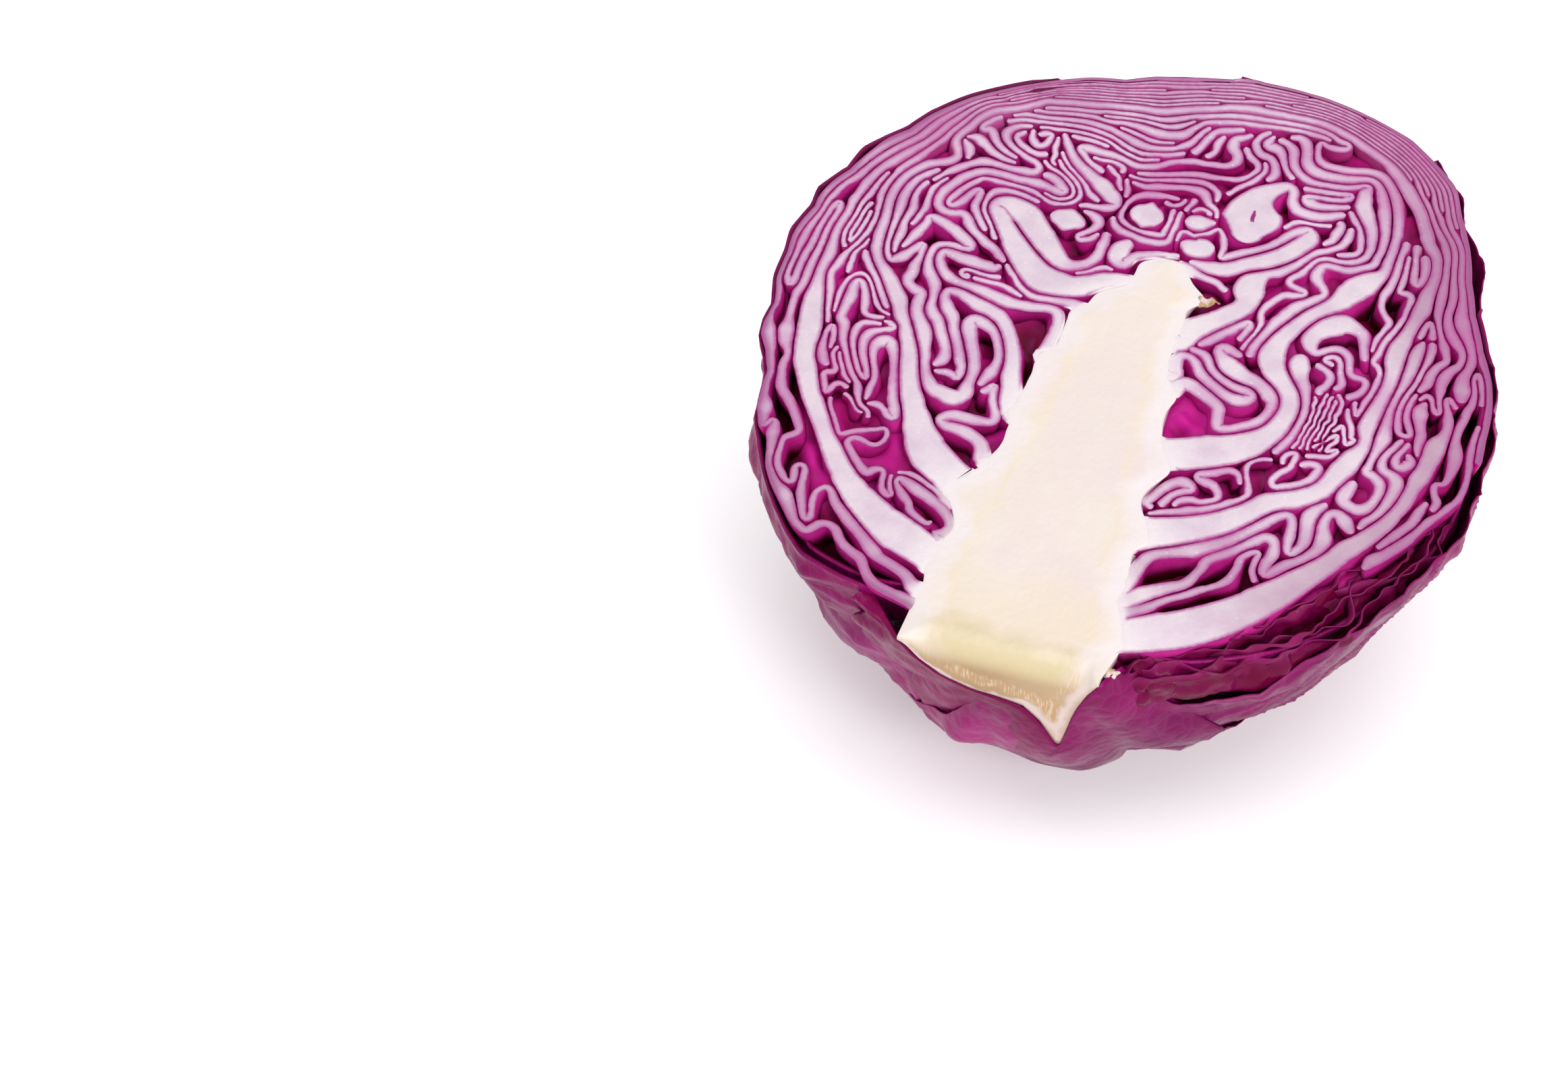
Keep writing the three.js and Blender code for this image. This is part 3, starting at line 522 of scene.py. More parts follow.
leaf("O2", [(69.8,17),(69.6,12.5),(70.2,8),(70.8,3),(70.6,-1.5),(69.4,-4.8),(67.2,-8.5),(65.2,-12),
     (63.2,-16.5),(60.5,-20.3),(58,-23.5),(57,-25.6)], [.4,.4,.4,.4,.5,.5,.6,.7,.8,1,1.2,.6])
leaf("O3", [(64.4,-5.7),(63.7,-8.5),(63.2,-11.8),(61.6,-14.5),(60,-17.3),(58.6,-20)], [.3,.6,.8,.6,.5,.4])
leaf("RimR", [(56.9,60.5),(58.8,55),(60.6,49.5),(62.5,44.5),(64.8,39.5),(67,35),(69,30),(70.6,25),(71.4,19),
     (71.6,13),(71.9,8)], .5)
# top strata
leaf("I0", [(-44,70.3),(-39,71.8),(-33,72.8),(-27,73.4),(-21,73.5),(-16.5,72.6),(-12.5,72.6),(-9.8,74.3),
     (-8.4,77),(-6,79.3),(-2.5,80.8),(2,81.8),(6.5,82.6),(9.8,83.8),(13,84.6),(17,84.6),(20,83.2)], [.5,.6,.6,
     .6,.8,1.1,1.1,.9,.7,.6,.6,.6,.6,.5,.6,.6,.5])
leaf("I0b", [(-30,74.3),(-24,74.9),(-19,75.2),(-14,75.1),(-10.8,76.6),(-8.5,78.6)], .45)
leaf("I1", [(-46,67),(-43,69),(-38.5,70.4),(-33,71),(-27.5,70.7),(-23,69.5),(-19,68.1),(-15,67.7),(-11,69.2),
     (-8,71.7),(-6.5,74.5),(-5,77.6)], [.5,.6,.6,.7,.8,.9,1.1,.8,.7,.7,.6,.6])
leaf("I1b", [(-25,71.6),(-20,70.7),(-15.5,70),(-11.5,71)], .45)
leaf("I2", [(-46.5,64.8),(-43.8,66.8),(-40,68.4),(-35,69.3),(-29.5,69),(-24.5,67.8),(-20.5,66.2),(-16.5,65.5),
     (-12.5,66.8),(-8.8,68.8)], .6)
leaf("I3", [(-39.5,67),(-34.5,67.8),(-29,67.4),(-24,66.2),(-19.5,64.6),(-16,63.9),(-12.3,65.2)], .5)
leaf("I4", [(-33,66),(-28,65.9),(-23,65)], .6)
leaf("J1", [(-41.5,64.8),(-40.6,62.2),(-38.8,60.5),(-36.8,61.8),(-36.4,64.5),(-38.3,65.3),(-39.4,63.8)], [.5,
     .6,.7,.6,.6,.9,.5])
leaf("J3", [(-43.2,64),(-44.2,61.8),(-43.2,59.6),(-41.2,58.3),(-38.5,57.8),(-36.5,58.5)], .6)
leaf("J5", [(-35.8,64.5),(-35.3,61.5),(-33.9,59.5),(-33.7,57.3),(-32.4,56.3)], .5)
leaf("J7", [(-22.6,60.2),(-20.6,58.6),(-19.3,57.5),(-18.5,55.5),(-17.3,53.5)], .45)
leaf("J8", [(-27.4,61),(-24.5,61.8),(-21.6,61.6),(-20,60.3),(-20.3,58.3)], .5)
leaf("H5", [(7.3,80.5),(5.9,78.6),(5.4,76.2),(6.8,74),(9.2,73.6),(11,71.8),(11.7,69.2),(11.2,66.8)], [.7,.7,.9,
     1,.9,.9,.9,.7])
leaf("H5b", [(8,80),(7.6,77.5),(10.5,76.8),(12.2,74.6),(13.5,72),(15.5,70)], [.5,1.4,1.2,.8,.6,.5])
leaf("H6", [(4.5,78.3),(2.8,77.6),(1,76.6),(1.2,74.3),(2.8,72.3),(2.7,70),(1,68.5),(-2,67.8),(-6,67.3),
     (-10,66.2),(-14,64.3),(-17,62.5),(-20.5,63),(-25,63.8),(-28.5,63.9),(-30.3,62.6),(-29,60.5),(-27,58.3),
     (-24.6,56.3)], [.6,.8,.9,1.2,1.1,.9,.7,.6,.6,.6,.7,.8,.8,1.2,1.1,.8,.7,.7,.7])
leaf("H7", [(1.5,79.3),(-1.5,78.2),(-4.3,77.3),(-5.5,74.8),(-5.8,72),(-6.6,70)], .7)
leaf("H8", [(-1.8,76.2),(-2.4,74),(-2.2,71.6),(-3.4,69.6)], .5)
leaf("H9", [(4,74.5),(5.3,72.9),(7,71.9),(8.2,70.2),(7.2,68),(5.8,66.4),(3.5,65.3),(0,64.6),(-4,64.2),
     (-8,62.8),(-12,60.8),(-16,59.5)], [.8,.8,.7,.6]+[.5]*8)
leaf("H10", [(9.2,72.6),(9.2,70),(8.3,67.5),(7.3,65.2),(6.3,62.9),(5.2,61.6),(4.2,60.7)], .5)
leaf("Y3", [(-17.8,57.4),(-17.3,55),(-16.8,52.7)], .5)
leaf("Y4", [(-16.6,57.4),(-13.8,57.2),(-11.5,58.2),(-8.5,58.8),(-5,59.6),(-2,59.8),(-0.2,58.2),(0.6,56.3),
     (2.2,55.2),(3,53.8)], [.5,.5,.7,.6,.7,.9,.8,.7,.6,.4])
leaf("Y5", [(-17.5,58.6),(-14,58.7),(-10.5,59.9),(-7,61),(-3,61.9),(0,61.6),(1.5,60.2),(1.7,58.2)], .45)
leaf("Y7", [(-8,54.6),(-6.5,53.6),(-5,54.9),(-4.5,56)], .4)
leaf("Y8", [(-3.6,53),(-3,55),(-2.5,56.8)], .4)
leaf("Y9", [(-2.6,53.6),(-1,54.8),(1.2,54.8),(2.2,53.5),(1,52.9)], .4)
leaf("K5", [(29,65.3),(26.5,64.5),(23.5,63.8),(20.8,64.2),(19.4,65.5),(21.5,66.5),(25,67.3),(28.4,68.7),
     (28.3,70),(25.5,69.3),(22,68.6),(18.8,68)], [.6,.8,.9,1.3,.7,.5,.6,.7,.7,.7,.7,.5])
leaf("K7", [(27.3,62.5),(28.7,60.5),(28.6,57.5),(28.3,55.3),(27.3,53.6)], [.6,.9,1,.8,.5])
leaf("K8", [(29,64.6),(31.2,62.6),(33,60),(34.2,57),(34.4,54.2),(32.6,52.8),(30.2,52.6)], .6)


# ---------------------------------------------------------------- the leaves' paths on the cut face

SPACING = 0.55          # mm between the places worked out along a leaf
SKINS = 0.14            # mm that the skins add to half of each drawn thickness
THINNEST = 0.22         # mm, half the thickness that a leaf keeps at least
LEAF_GAP = 0.22         # mm kept open between two leaves while they settle
TOUCHING = 0.26         # mm left between two leaves that lie against each other
SETTLE_ROUNDS = 70      # rounds of pushing crowded leaves apart
SEARCH_EVERY = 14       # rounds between two searches for close places
KEPT_SHIFT = 0.985      # share of its shift that a place keeps from round to round
TOP_LEAF = [place[:2] for place in LEAVES["G1"][:27]]
# Leaves that run on over the top from the left rim to the right: (left, right, how far in from the rim)
OVER_TOP = [("S0", "RimR", .12), ("S1", "E8", .3), ("L2", "E7", .52), ("Q6", "E5", .74)]
# Shorter leaves between them: (how far in, first place, last place)
BETWEEN = [(.21, 1, 24), (.21, 26, 39), (.41, 3, 14), (.41, 16, 38), (.63, 1, 20), (.63, 22, 37), (.88, 4, 19),
           (.88, 21, 36)]


def smooth_path(points):
    """A smooth line through the listed points: between two points each column is the cubic whose slope
    at a point is half the step between that point's two neighbours. It is then resampled to even
    spacing and evened once."""
    p = np.asarray(points, float)
    q = np.vstack([2 * p[0] - p[1], p, 2 * p[-1] - p[-2]])
    t = np.linspace(0, 1, 9)[:-1, None, None]
    a, b, c, d = q[:-3], q[1:-2], q[2:-1], q[3:]
    s = .5 * (2 * b + (c - a) * t + (2 * a - 5 * b + 4 * c - d) * t ** 2 + (3 * b - a - 3 * c + d) * t ** 3)
    s = np.vstack([s.transpose(1, 0, 2).reshape(-1, p.shape[1]), p[-1:]])
    run = run_along(s)
    at = np.linspace(0, run[-1], max(5, int(round(run[-1] / SPACING)) + 1))
    return evened(np.column_stack([np.interp(at, run, column) for column in s.T]))


def over_the_top(f):
    """A path over the head's top, part way (f) from the rim's outline to the top leaf's line, both
    followed at the same share of their lengths. It wanders a little between its neighbours."""
    share = np.linspace(0, 1, 46)[3:-3]
    f = (f + .03 * np.sin(share * 31 + f * 6) + .02 * np.sin(share * 53 + f * 9))[:, None]
    rim, top_leaf = (smooth_path(line) for line in (TOP_OUTLINE, TOP_LEAF))
    rim, top_leaf = (np.column_stack([np.interp(share, run_along(s) / run_along(s)[-1], c) for c in s.T])
                     for s in (rim, top_leaf))
    return rim * (1 - f) + top_leaf * f


def crumpled_fan():
    """Five thin crumpled leaves side by side: nearly straight lines that wander as two sines do."""
    for k in range(5):
        f = (k + .7) / 5.4
        v = np.linspace(14 + f, -1.5 + 3 * f, 16)
        u = (np.interp(v, [-1.5, 1.5, 5, 10, 15], [34.6, 35.6, 36.4, 36.6, 36.2])
             + f * np.interp(v, [-1.5, 5, 10, 15], [4.2, 3.8, 4.7, 5.8])
             + .5 * np.sin(v * (.95 + .07 * k) + 1.3 * k) + .25 * np.sin(v * 2.1 + k))
        yield [(a, b, .38) for a, b in zip(u, v)]


def join_leaves():
    """All paths, smoothed and with their skins. Four leaves run on over the top from a leaf at the left
    rim to one at the right rim, and shorter ones lie between them."""
    drawn = dict(LEAVES)
    paths = []
    for left, right, f in OVER_TOP:
        top = [(u, v, .36) for u, v in over_the_top(f)]
        paths.append(drawn.pop(left)[::-1] + top + drawn.pop(right))
    for f, start, stop in BETWEEN:
        paths.append([(u, v, .3) for u, v in over_the_top(f)[start:stop]])
    paths.append(drawn.pop("L3")[::-1] + drawn.pop("G1")[1:])
    paths += list(crumpled_fan()) + list(drawn.values())
    return [smooth_path(path) + [0, 0, SKINS] for path in paths]


def strung(paths):
    """All paths in one table, and for each place its path's number, how far along it lies, and whether
    it has a neighbour on both sides."""
    owner = np.repeat(np.arange(len(paths)), [len(p) for p in paths])
    along = np.concatenate([np.arange(len(p)) for p in paths]) * SPACING
    inner = np.r_[True, owner[1:] == owner[:-1]] & np.r_[owner[:-1] == owner[1:], True]
    return np.vstack(paths), owner, along, inner


def unstrung(table, owner):
    """The table cut up into its paths again."""
    return np.split(table, np.flatnonzero(np.diff(owner)) + 1)


def pairs_near(place, reach, step=400):
    """Every two places closer than reach, as two index arrays. The places are sorted across the face, so
    a block is only compared with the strip of the face beside it."""
    order = np.argsort(place[:, 0])
    sorted_place = place[order]
    first, second = [], []
    for start in range(0, len(place), step):
        block = sorted_place[start:start + step]
        stop = np.searchsorted(sorted_place[:, 0], block[-1, 0] + reach)
        gap = ((block[:, None] - sorted_place[None, start:stop]) ** 2).sum(-1)
        i, j = np.nonzero(gap < reach ** 2)
        keep = j > i
        first.append(order[i[keep] + start])
        second.append(order[j[keep] + start])
    return np.concatenate(first), np.concatenate(second)


def settle(paths):
    """Leaves that cross or touch are moved apart. Each place along a leaf is a disc of the leaf's half
    thickness. Discs of different leaves, or of one leaf well apart along it, that come closer than a
    narrow gap push each other away. The push is spread along the leaf, a weak pull takes every place
    back to where it was drawn, and what would cross the head's outline goes back inside. What still
    overlaps at the end is taken off both thicknesses."""
    data, owner, along, inner = strung(paths)
    home, half = data[:, :2].copy(), data[:, 2].copy()
    place = home.copy()
    for step in range(SETTLE_ROUNDS):
        if step % SEARCH_EVERY == 0:
            i, j = pairs_near(place, 6.5)
            far = np.hypot(*(place[i] - place[j]).T) < half[i] + half[j] + LEAF_GAP + 1.2
            apart = (owner[i] != owner[j]) | (np.abs(along[i] - along[j]) > 2.2 * (half[i] + half[j]) + 1.2)
            i, j = i[far & apart], j[far & apart]
        line = place[i] - place[j]
        gap = np.hypot(*line.T) + 1e-9
        over = half[i] + half[j] + LEAF_GAP - gap
        push = np.maximum(over, 0) * .5 / gap
        share_i = (half[j] + .3) / (half[i] + half[j] + .6)
        move = np.zeros_like(place)
        for axis in (0, 1):
            move[:, axis] += np.bincount(i, push * line[:, axis] * share_i * 2, len(place))
            move[:, axis] -= np.bincount(j, push * line[:, axis] * (1 - share_i) * 2, len(place))
        hit = (over > 0).astype(float)
        count = 1 + np.bincount(i, hit, len(place)) + np.bincount(j, hit, len(place))
        place += move / np.sqrt(count)[:, None]
        shift = place - home
        for _ in range(2):
            shift = np.where(inner[:, None], evened(shift), shift)
        place = home + shift * KEPT_SHIFT
        past = np.maximum(half + .3 - inside_edge(*place.T), 0) * .6
        inwards = MIDDLE - place
        place += inwards / np.hypot(*inwards.T)[:, None] * past[:, None]
    over = np.maximum(half[i] + half[j] + LEAF_GAP * .75 - np.hypot(*(place[i] - place[j]).T), 0)
    cut = np.zeros(len(place))
    share_i = half[i] / (half[i] + half[j])
    np.maximum.at(cut, i, over * share_i)
    np.maximum.at(cut, j, over * (1 - share_i))
    for _ in range(3):
        wide = cut.copy()
        wide[1:-1] = np.maximum(cut[1:-1], .5 * (cut[:-2] + cut[2:]))
        cut = np.where(inner, wide, cut)
    return unstrung(np.column_stack([place, np.maximum(half - cut, THINNEST)]), owner)


def normals(path):
    """Unit normals to the left of a path."""
    step = np.gradient(path[:, :2], axis=0)
    return np.column_stack([-step[:, 1], step[:, 0]]) / (np.hypot(*step.T)[:, None] + 1e-9)


def fill_out(paths):
    """Leaves swell until they lie against each other. On each side of each place the room to the nearest
    leaf is found; half of it is filled, by at most a share of the leaf's own thickness, and less where
    the room is a wide hollow. The swelling is evened out along the leaf and never grows by that. It is
    returned as two more columns, left and right."""
    data, owner, along, inner = strung(paths)
    place, half, normal = data[:, :2], data[:, 2], np.vstack([normals(p) for p in paths])
    i, j = pairs_near(place, 7.)
    apart = (owner[i] != owner[j]) | (np.abs(along[i] - along[j]) > 2.4 * (half[i] + half[j]) + 1.6)
    i, j = np.r_[i[apart], j[apart]], np.r_[j[apart], i[apart]]
    line = place[j] - place[i]
    gap = np.hypot(*line.T) + 1e-9
    side = (line * normal[i]).sum(1) / gap
    grown = []
    for turn in (1, -1):
        room = np.full(len(place), 4.)
        seen = side * turn > .55
        np.minimum.at(room, i[seen], (gap - half[i] - half[j])[seen])
        most = np.minimum(.22 + .5 * half, .75) * (1 - .75 * soft_step(room, 1.1, 2.2))
        limit = np.clip((room - TOUCHING) / 2, 0, most)
        grow = limit
        for _ in range(5):
            grow = np.where(inner, np.minimum(evened(grow), limit), grow)
        grown.append(grow)
    return unstrung(np.column_stack([data, *grown]), owner)


# ---------------------------------------------------------------- the cut leaves

WALL = np.array([.16, .6, 1.5, 3.2, 6., 10., 15.])      # mm below the cut
BEVEL = .05                                             # mm, the knife's slightly soft edge
SKIN = .21                                              # mm of coloured skin on each side of a leaf
FLARE = .9                                              # mm that a leaf widens by where it joins the core
ROOT_REACH = 9                                          # mm from the core over which a leaf turns white
RIM_WALL, RIM_WIDTH = .4, 6                             # walls are less deep this many mm from the edge


def sink(u, v, depth):
    """Where a leaf goes below the cut: everything draws in towards the middle as on a ball, a little
    more at the rim, and leans this way and that over a few cm. Neighbours lean together, so they never
    cross."""
    inside = inside_edge(u, v)
    at_rim = .2 * np.minimum(depth, 9) * np.exp(-np.maximum(inside, 0) / 7)
    draw_in = np.sqrt(1 - (depth / 72) ** 2) - at_rim / 70
    lean = (1 - np.exp(-depth / 4.5)) * soft_step(inside, 1, 14)
    lean_u = 1.8 * np.sin(.21 * u + .16 * v + .6) + .7 * np.sin(.47 * v - .38 * u + 2)
    lean_v = 1.8 * np.sin(.19 * v - .17 * u + 1.9) + .7 * np.sin(.43 * u + .41 * v)
    return (MIDDLE[0] + (u - MIDDLE[0]) * draw_in + lean_u * lean,
            MIDDLE[1] + (v - MIDDLE[1]) * draw_in + lean_v * lean)


def reach_core(path):
    """A leaf whose end lies at the core widens towards it and is carried on into it, so that its round
    end is hidden there."""
    for flip in (1, -1):
        path = path[::flip]
        (u, v, half), back = path[-1, :3], path[-1, :2] - path[-4, :2]
        left, right = core_edges(v)
        if left - 1.8 < u < right + 1.8 and -69 < v < CORE_TOP - 1:
            inward = np.array([np.sign((left + right) / 2 - u), 0]) + back / np.hypot(*back)
            path[:, 3:] += FLARE * np.exp(-run_along(path[::-1])[::-1] / 1.5)[:, None]
            step = np.arange(1, 6)[:, None] / 5 * (half + 1.6) * inward / np.hypot(*inward)
            path = np.vstack([path, np.column_stack([path[-1, :2] + step, np.tile(path[-1, 2:], (5, 1))])])
        path = path[::flip]
    return path


def round_ends(path):
    """A path carried on by most of its half thickness at both ends, with closer places there, where all
    thickness falls off as a quarter circle does, so that the leaf ends round."""
    first, last = path[0, 2], path[-1, 2]
    for flip, half in ((1, first), (-1, last)):
        path = path[::flip]
        back = path[0] - path[1]
        back[2:] = 0
        path = np.vstack([path[0] + back * .8 * half / (np.hypot(*back[:2]) + 1e-9), path])[::flip]
    run = run_along(path)
    near = np.array([.02, .08, .18, .32, .5, .75])
    at = np.unique(np.r_[near * first, run[(run > first) & (run < run[-1] - last)], run[-1] - near * last])
    path = np.column_stack([np.interp(at, run, column) for column in path.T])
    t0, t1 = np.clip(at / first, 0, 1), np.clip((run[-1] - at) / last, 0, 1)
    path[:, 2:] *= np.sqrt(np.maximum((1 - (1 - t0) ** 2) * (1 - (1 - t1) ** 2), .01))[:, None]
    return path


def sides_of(path):
    """Unit normals of a path, and the thickness to its left and right: on the inside of a tight bend it
    is never more than the bend's radius."""
    normal = normals(path)
    length = np.hypot(*np.gradient(path[:, :2], axis=0).T) + 1e-9
    turn = np.gradient(np.unwrap(np.arctan2(-normal[:, 0], normal[:, 1]))) / length
    left = np.minimum(path[:, 2] + path[:, 3], .92 / np.maximum(turn, 1e-6))
    right = np.minimum(path[:, 2] + path[:, 4], .92 / np.maximum(-turn, 1e-6))
    left, right = (np.minimum(side, evened(side) + .03)[:, None] for side in (left, right))
    return normal, left, right


def leaf_ribbon(path, level):
    """A leaf on edge as a closed tube, its top level mm above the cut. Its section goes up the left
    wall, over a softened edge, across the cut, and down the right wall; the cut is crowned a little
    between the two skins. Every place below the cut is shifted by sink()."""
    at_rim = inside_edge(*path[:, :2].T).mean() < RIM_WIDTH
    path = round_ends(path)
    normal, left, right = sides_of(path)
    one = np.ones_like(left)
    wall = WALL * (RIM_WALL if at_rim else 1) * (.12 + .88 * soft_step(path[:, 1:2], -68, -50))
    skin_l, skin_r = np.minimum(SKIN, .5 * left), np.minimum(SKIN, .5 * right)
    across = np.hstack([left * np.ones_like(wall), left - BEVEL * .6, left - skin_l, (left - right) / 2,
                        -(right - skin_r), -(right - BEVEL * .6), -right * np.ones_like(wall)])
    crown = -.03 - .03 * np.minimum(path[:, 2:3], 2)
    depth = np.hstack([wall[:, ::-1], one * BEVEL, 0 * one, crown, 0 * one, one * BEVEL, wall])
    edge = np.hstack([0 * wall, one * .03, skin_l, (left + right) / 2, skin_r, one * .03, 0 * wall])
    u = path[:, :1] + normal[:, :1] * across
    v = path[:, 1:2] + normal[:, 1:] * across
    off_core = beside_core(u, v)
    root = np.exp(-np.maximum(off_core, 0) / ROOT_REACH)
    height = level * (1 - root) - depth + .2 * np.minimum(off_core, 0)
    return tube(to_row(*sink(u, v, np.maximum(depth, 0)), height), edge=edge, depth=depth,
                rim=inside_edge(u, v), half=np.broadcast_to((left + right) / 2, edge.shape), root=root)


settled = [reach_core(path) for path in fill_out(settle(join_leaves()))]
levels = list(np.random.default_rng(7).uniform(-.2, -.04, len(settled)))
for shift in (-.28, 0, .28):        # a slit in the round stalk above the core, painted as shade: three thin ribbons over the cut whose purple skins show as three dark lines
    settled.append(np.array([(10.7 + shift, 54.9, .1, 0, 0), (10.5 + shift, 55.8, .17, 0, 0),
                             (10.5 + shift, 56.9, .17, 0, 0), (10.4 + .4 * shift, 58, .1, 0, 0)]))
    levels.append(.13)
ribbons = [leaf_ribbon(path, level) for path, level in zip(settled, levels)]
mean_inside = [inside_edge(*path[:, :2].T).mean() for path in settled]


# ---------------------------------------------------------------- leaf backs seen in the hollows

HOLLOWS = [(12, -1, 7, 3.2), (-20, 6, 7, 9), (30, 80, 7, 3), (20, -40, 8, 7), (30, -34, 7, 8), (43, 42, 7, 8),
           (37, 30, 4, 5), (-33, -15, 7, 8), (-50, 30, 4, 7), (-47, 40, 4, 7), (-50, -22, 6, 3.5),
           (-47, -30, 6, 4), (-38, -27, 5, 2.5), (61, 13, 5, 8), (-74, 0, 5, 7), (-60, -36, 6, 4),
           (-45, -50, 6, 6), (-30, -40, 5, 5), (-22, 38, 7, 4), (24, 12, 6, 4)]    # (u, v, mm wide, mm deep)
BACKS_INSET = 3.5       # mm from the face's edge to the sheet's
BACKS_THICK = 1.2       # mm
HIGHEST_BACK = 1.3      # mm below the cut


def hollow_backs():
    """A bumpy sheet under the cut leaves, as a grid of rings round the middle: its depth is a smooth
    random surface 2 to 6 mm down, drawn to a given depth under each wide hollow. A second surface lower
    down closes it."""
    share = np.linspace(.005, 1, 75)[:, None] ** .8
    turn = np.linspace(0, 2 * math.pi, 240, endpoint=False)[None]
    side = edge_distance(np.arccos(np.cos(turn)), np.sin(turn) > 0) - BACKS_INSET
    u = MIDDLE[0] + side * share * np.sin(turn)
    v = MIDDLE[1] + side * share * np.cos(turn)
    depth = 3.4 + 1.2 * waves(u, v, 26, 21) + 1.1 * waves(u, v, 8, 22)
    for hollow_u, hollow_v, wide, deep in HOLLOWS:
        near = np.exp(-((u - hollow_u) ** 2 + (v - hollow_v) ** 2) / wide ** 2)
        depth += (deep + 1.1 * waves(u, v, 6, 23) - depth) * near
    depth = HIGHEST_BACK + np.log1p(np.exp(np.clip((depth - HIGHEST_BACK) * 1.6, -9, 30))) / 1.6
    depth += 6 * soft_step(inside_edge(u, v), 10, 4)
    fold = bump(waves(u, v, 13, 24), 0, .12)
    depth += .8 * fold
    closed = stack(depth, depth + BACKS_THICK)
    return tube(to_row(stack(u, u), stack(v, v), -closed), depth=closed, fold=stack(fold, 0 * fold))


# ---------------------------------------------------------------- the outer leaves round the back

EGG_RADIUS, EGG_TOP, EGG_BASE, EGG_WIDEST = 76.5, 95, -69, 6       # mm, as the CAD's outer leaf
BACK_RADIUS = 78        # mm, for lengths round the back
FLAT_REACH = 1.6        # mm over which the back rounds off into the flat that it lies on
RIB_SPACING = 17        # mm between two side ribs
QUARTER = math.pi / 2


def egg_edge():
    """The back's own outline as (angle, distance) from the middle: a stretched circle above the widest
    place and a fuller curve below it, with a lip 3 mm long round the stem's base."""
    y = EGG_WIDEST + np.r_[np.sin(np.linspace(QUARTER, 0, 40)) * (EGG_TOP - EGG_WIDEST),
                           -np.sin(np.linspace(.03, QUARTER, 60)) * (EGG_WIDEST - EGG_BASE)]
    down = y < EGG_WIDEST
    share = np.abs(y - EGG_WIDEST) / np.where(down, EGG_WIDEST - EGG_BASE, EGG_TOP - EGG_WIDEST)
    power = np.where(down, 2.3, 2)
    r = EGG_RADIUS * np.maximum(1 - share ** power, 0) ** (1 / power)
    dv = y - MIDDLE[1] - 3.5 * bump(r, 20, 14) * down
    angle = np.arctan2(r, dv)
    order = np.argsort(angle)
    return angle[order], np.hypot(r, dv)[order]


BACK_EDGE = egg_edge()


def back_point(turn, fall, out):
    """A place on the back in metres. turn goes round the stem from the right rim (0) under the head to
    the left rim (pi); fall is the angle from straight up the stem; out is mm outwards. The distance
    from the middle runs from the right rim's outline to the egg's and on to the left rim's."""
    right, left = np.maximum(np.cos(turn), 0) ** 2.5, np.maximum(-np.cos(turn), 0) ** 2.5
    far = (right * np.interp(fall, *RIGHT_EDGE) + left * np.interp(fall, *LEFT_EDGE)
           + (1 - right - left) * np.interp(fall, *BACK_EDGE)) + out
    # drawn in beside the stem's cut end, at the lower right, and behind the left rim
    lower_right = bump(turn, .85, .5) * soft_step(fall, 1.3, 2.) * (1 - .8 * soft_step(fall, 2.05, 2.5))
    far = (far - 5 * soft_step(fall, 2.66, 2.95) - 10.5 * lower_right
           - 3 * bump(turn, 2.5, .45) * soft_step(fall, 1.2, 1.8))
    # broad folds that run from the stem's base outwards
    under = soft_step(np.sin(turn), .08, .4) * soft_step(fall, .9, 1.7)
    far = far + 1.5 * under * waves(turn * 62, fall * 20, 26, 31)
    point = to_row(MIDDLE[0] + far * np.sin(fall) * np.cos(turn), MIDDLE[1] + far * np.cos(fall),
                   -far * np.sin(fall) * np.sin(turn))
    # the head rests on a small flat of its outermost leaf: nothing goes below the floor
    height = point[..., 2] / MM
    point[..., 2] = MM * ((height + np.sqrt(height ** 2 + FLAT_REACH ** 2)) / 2 - .15)
    return point


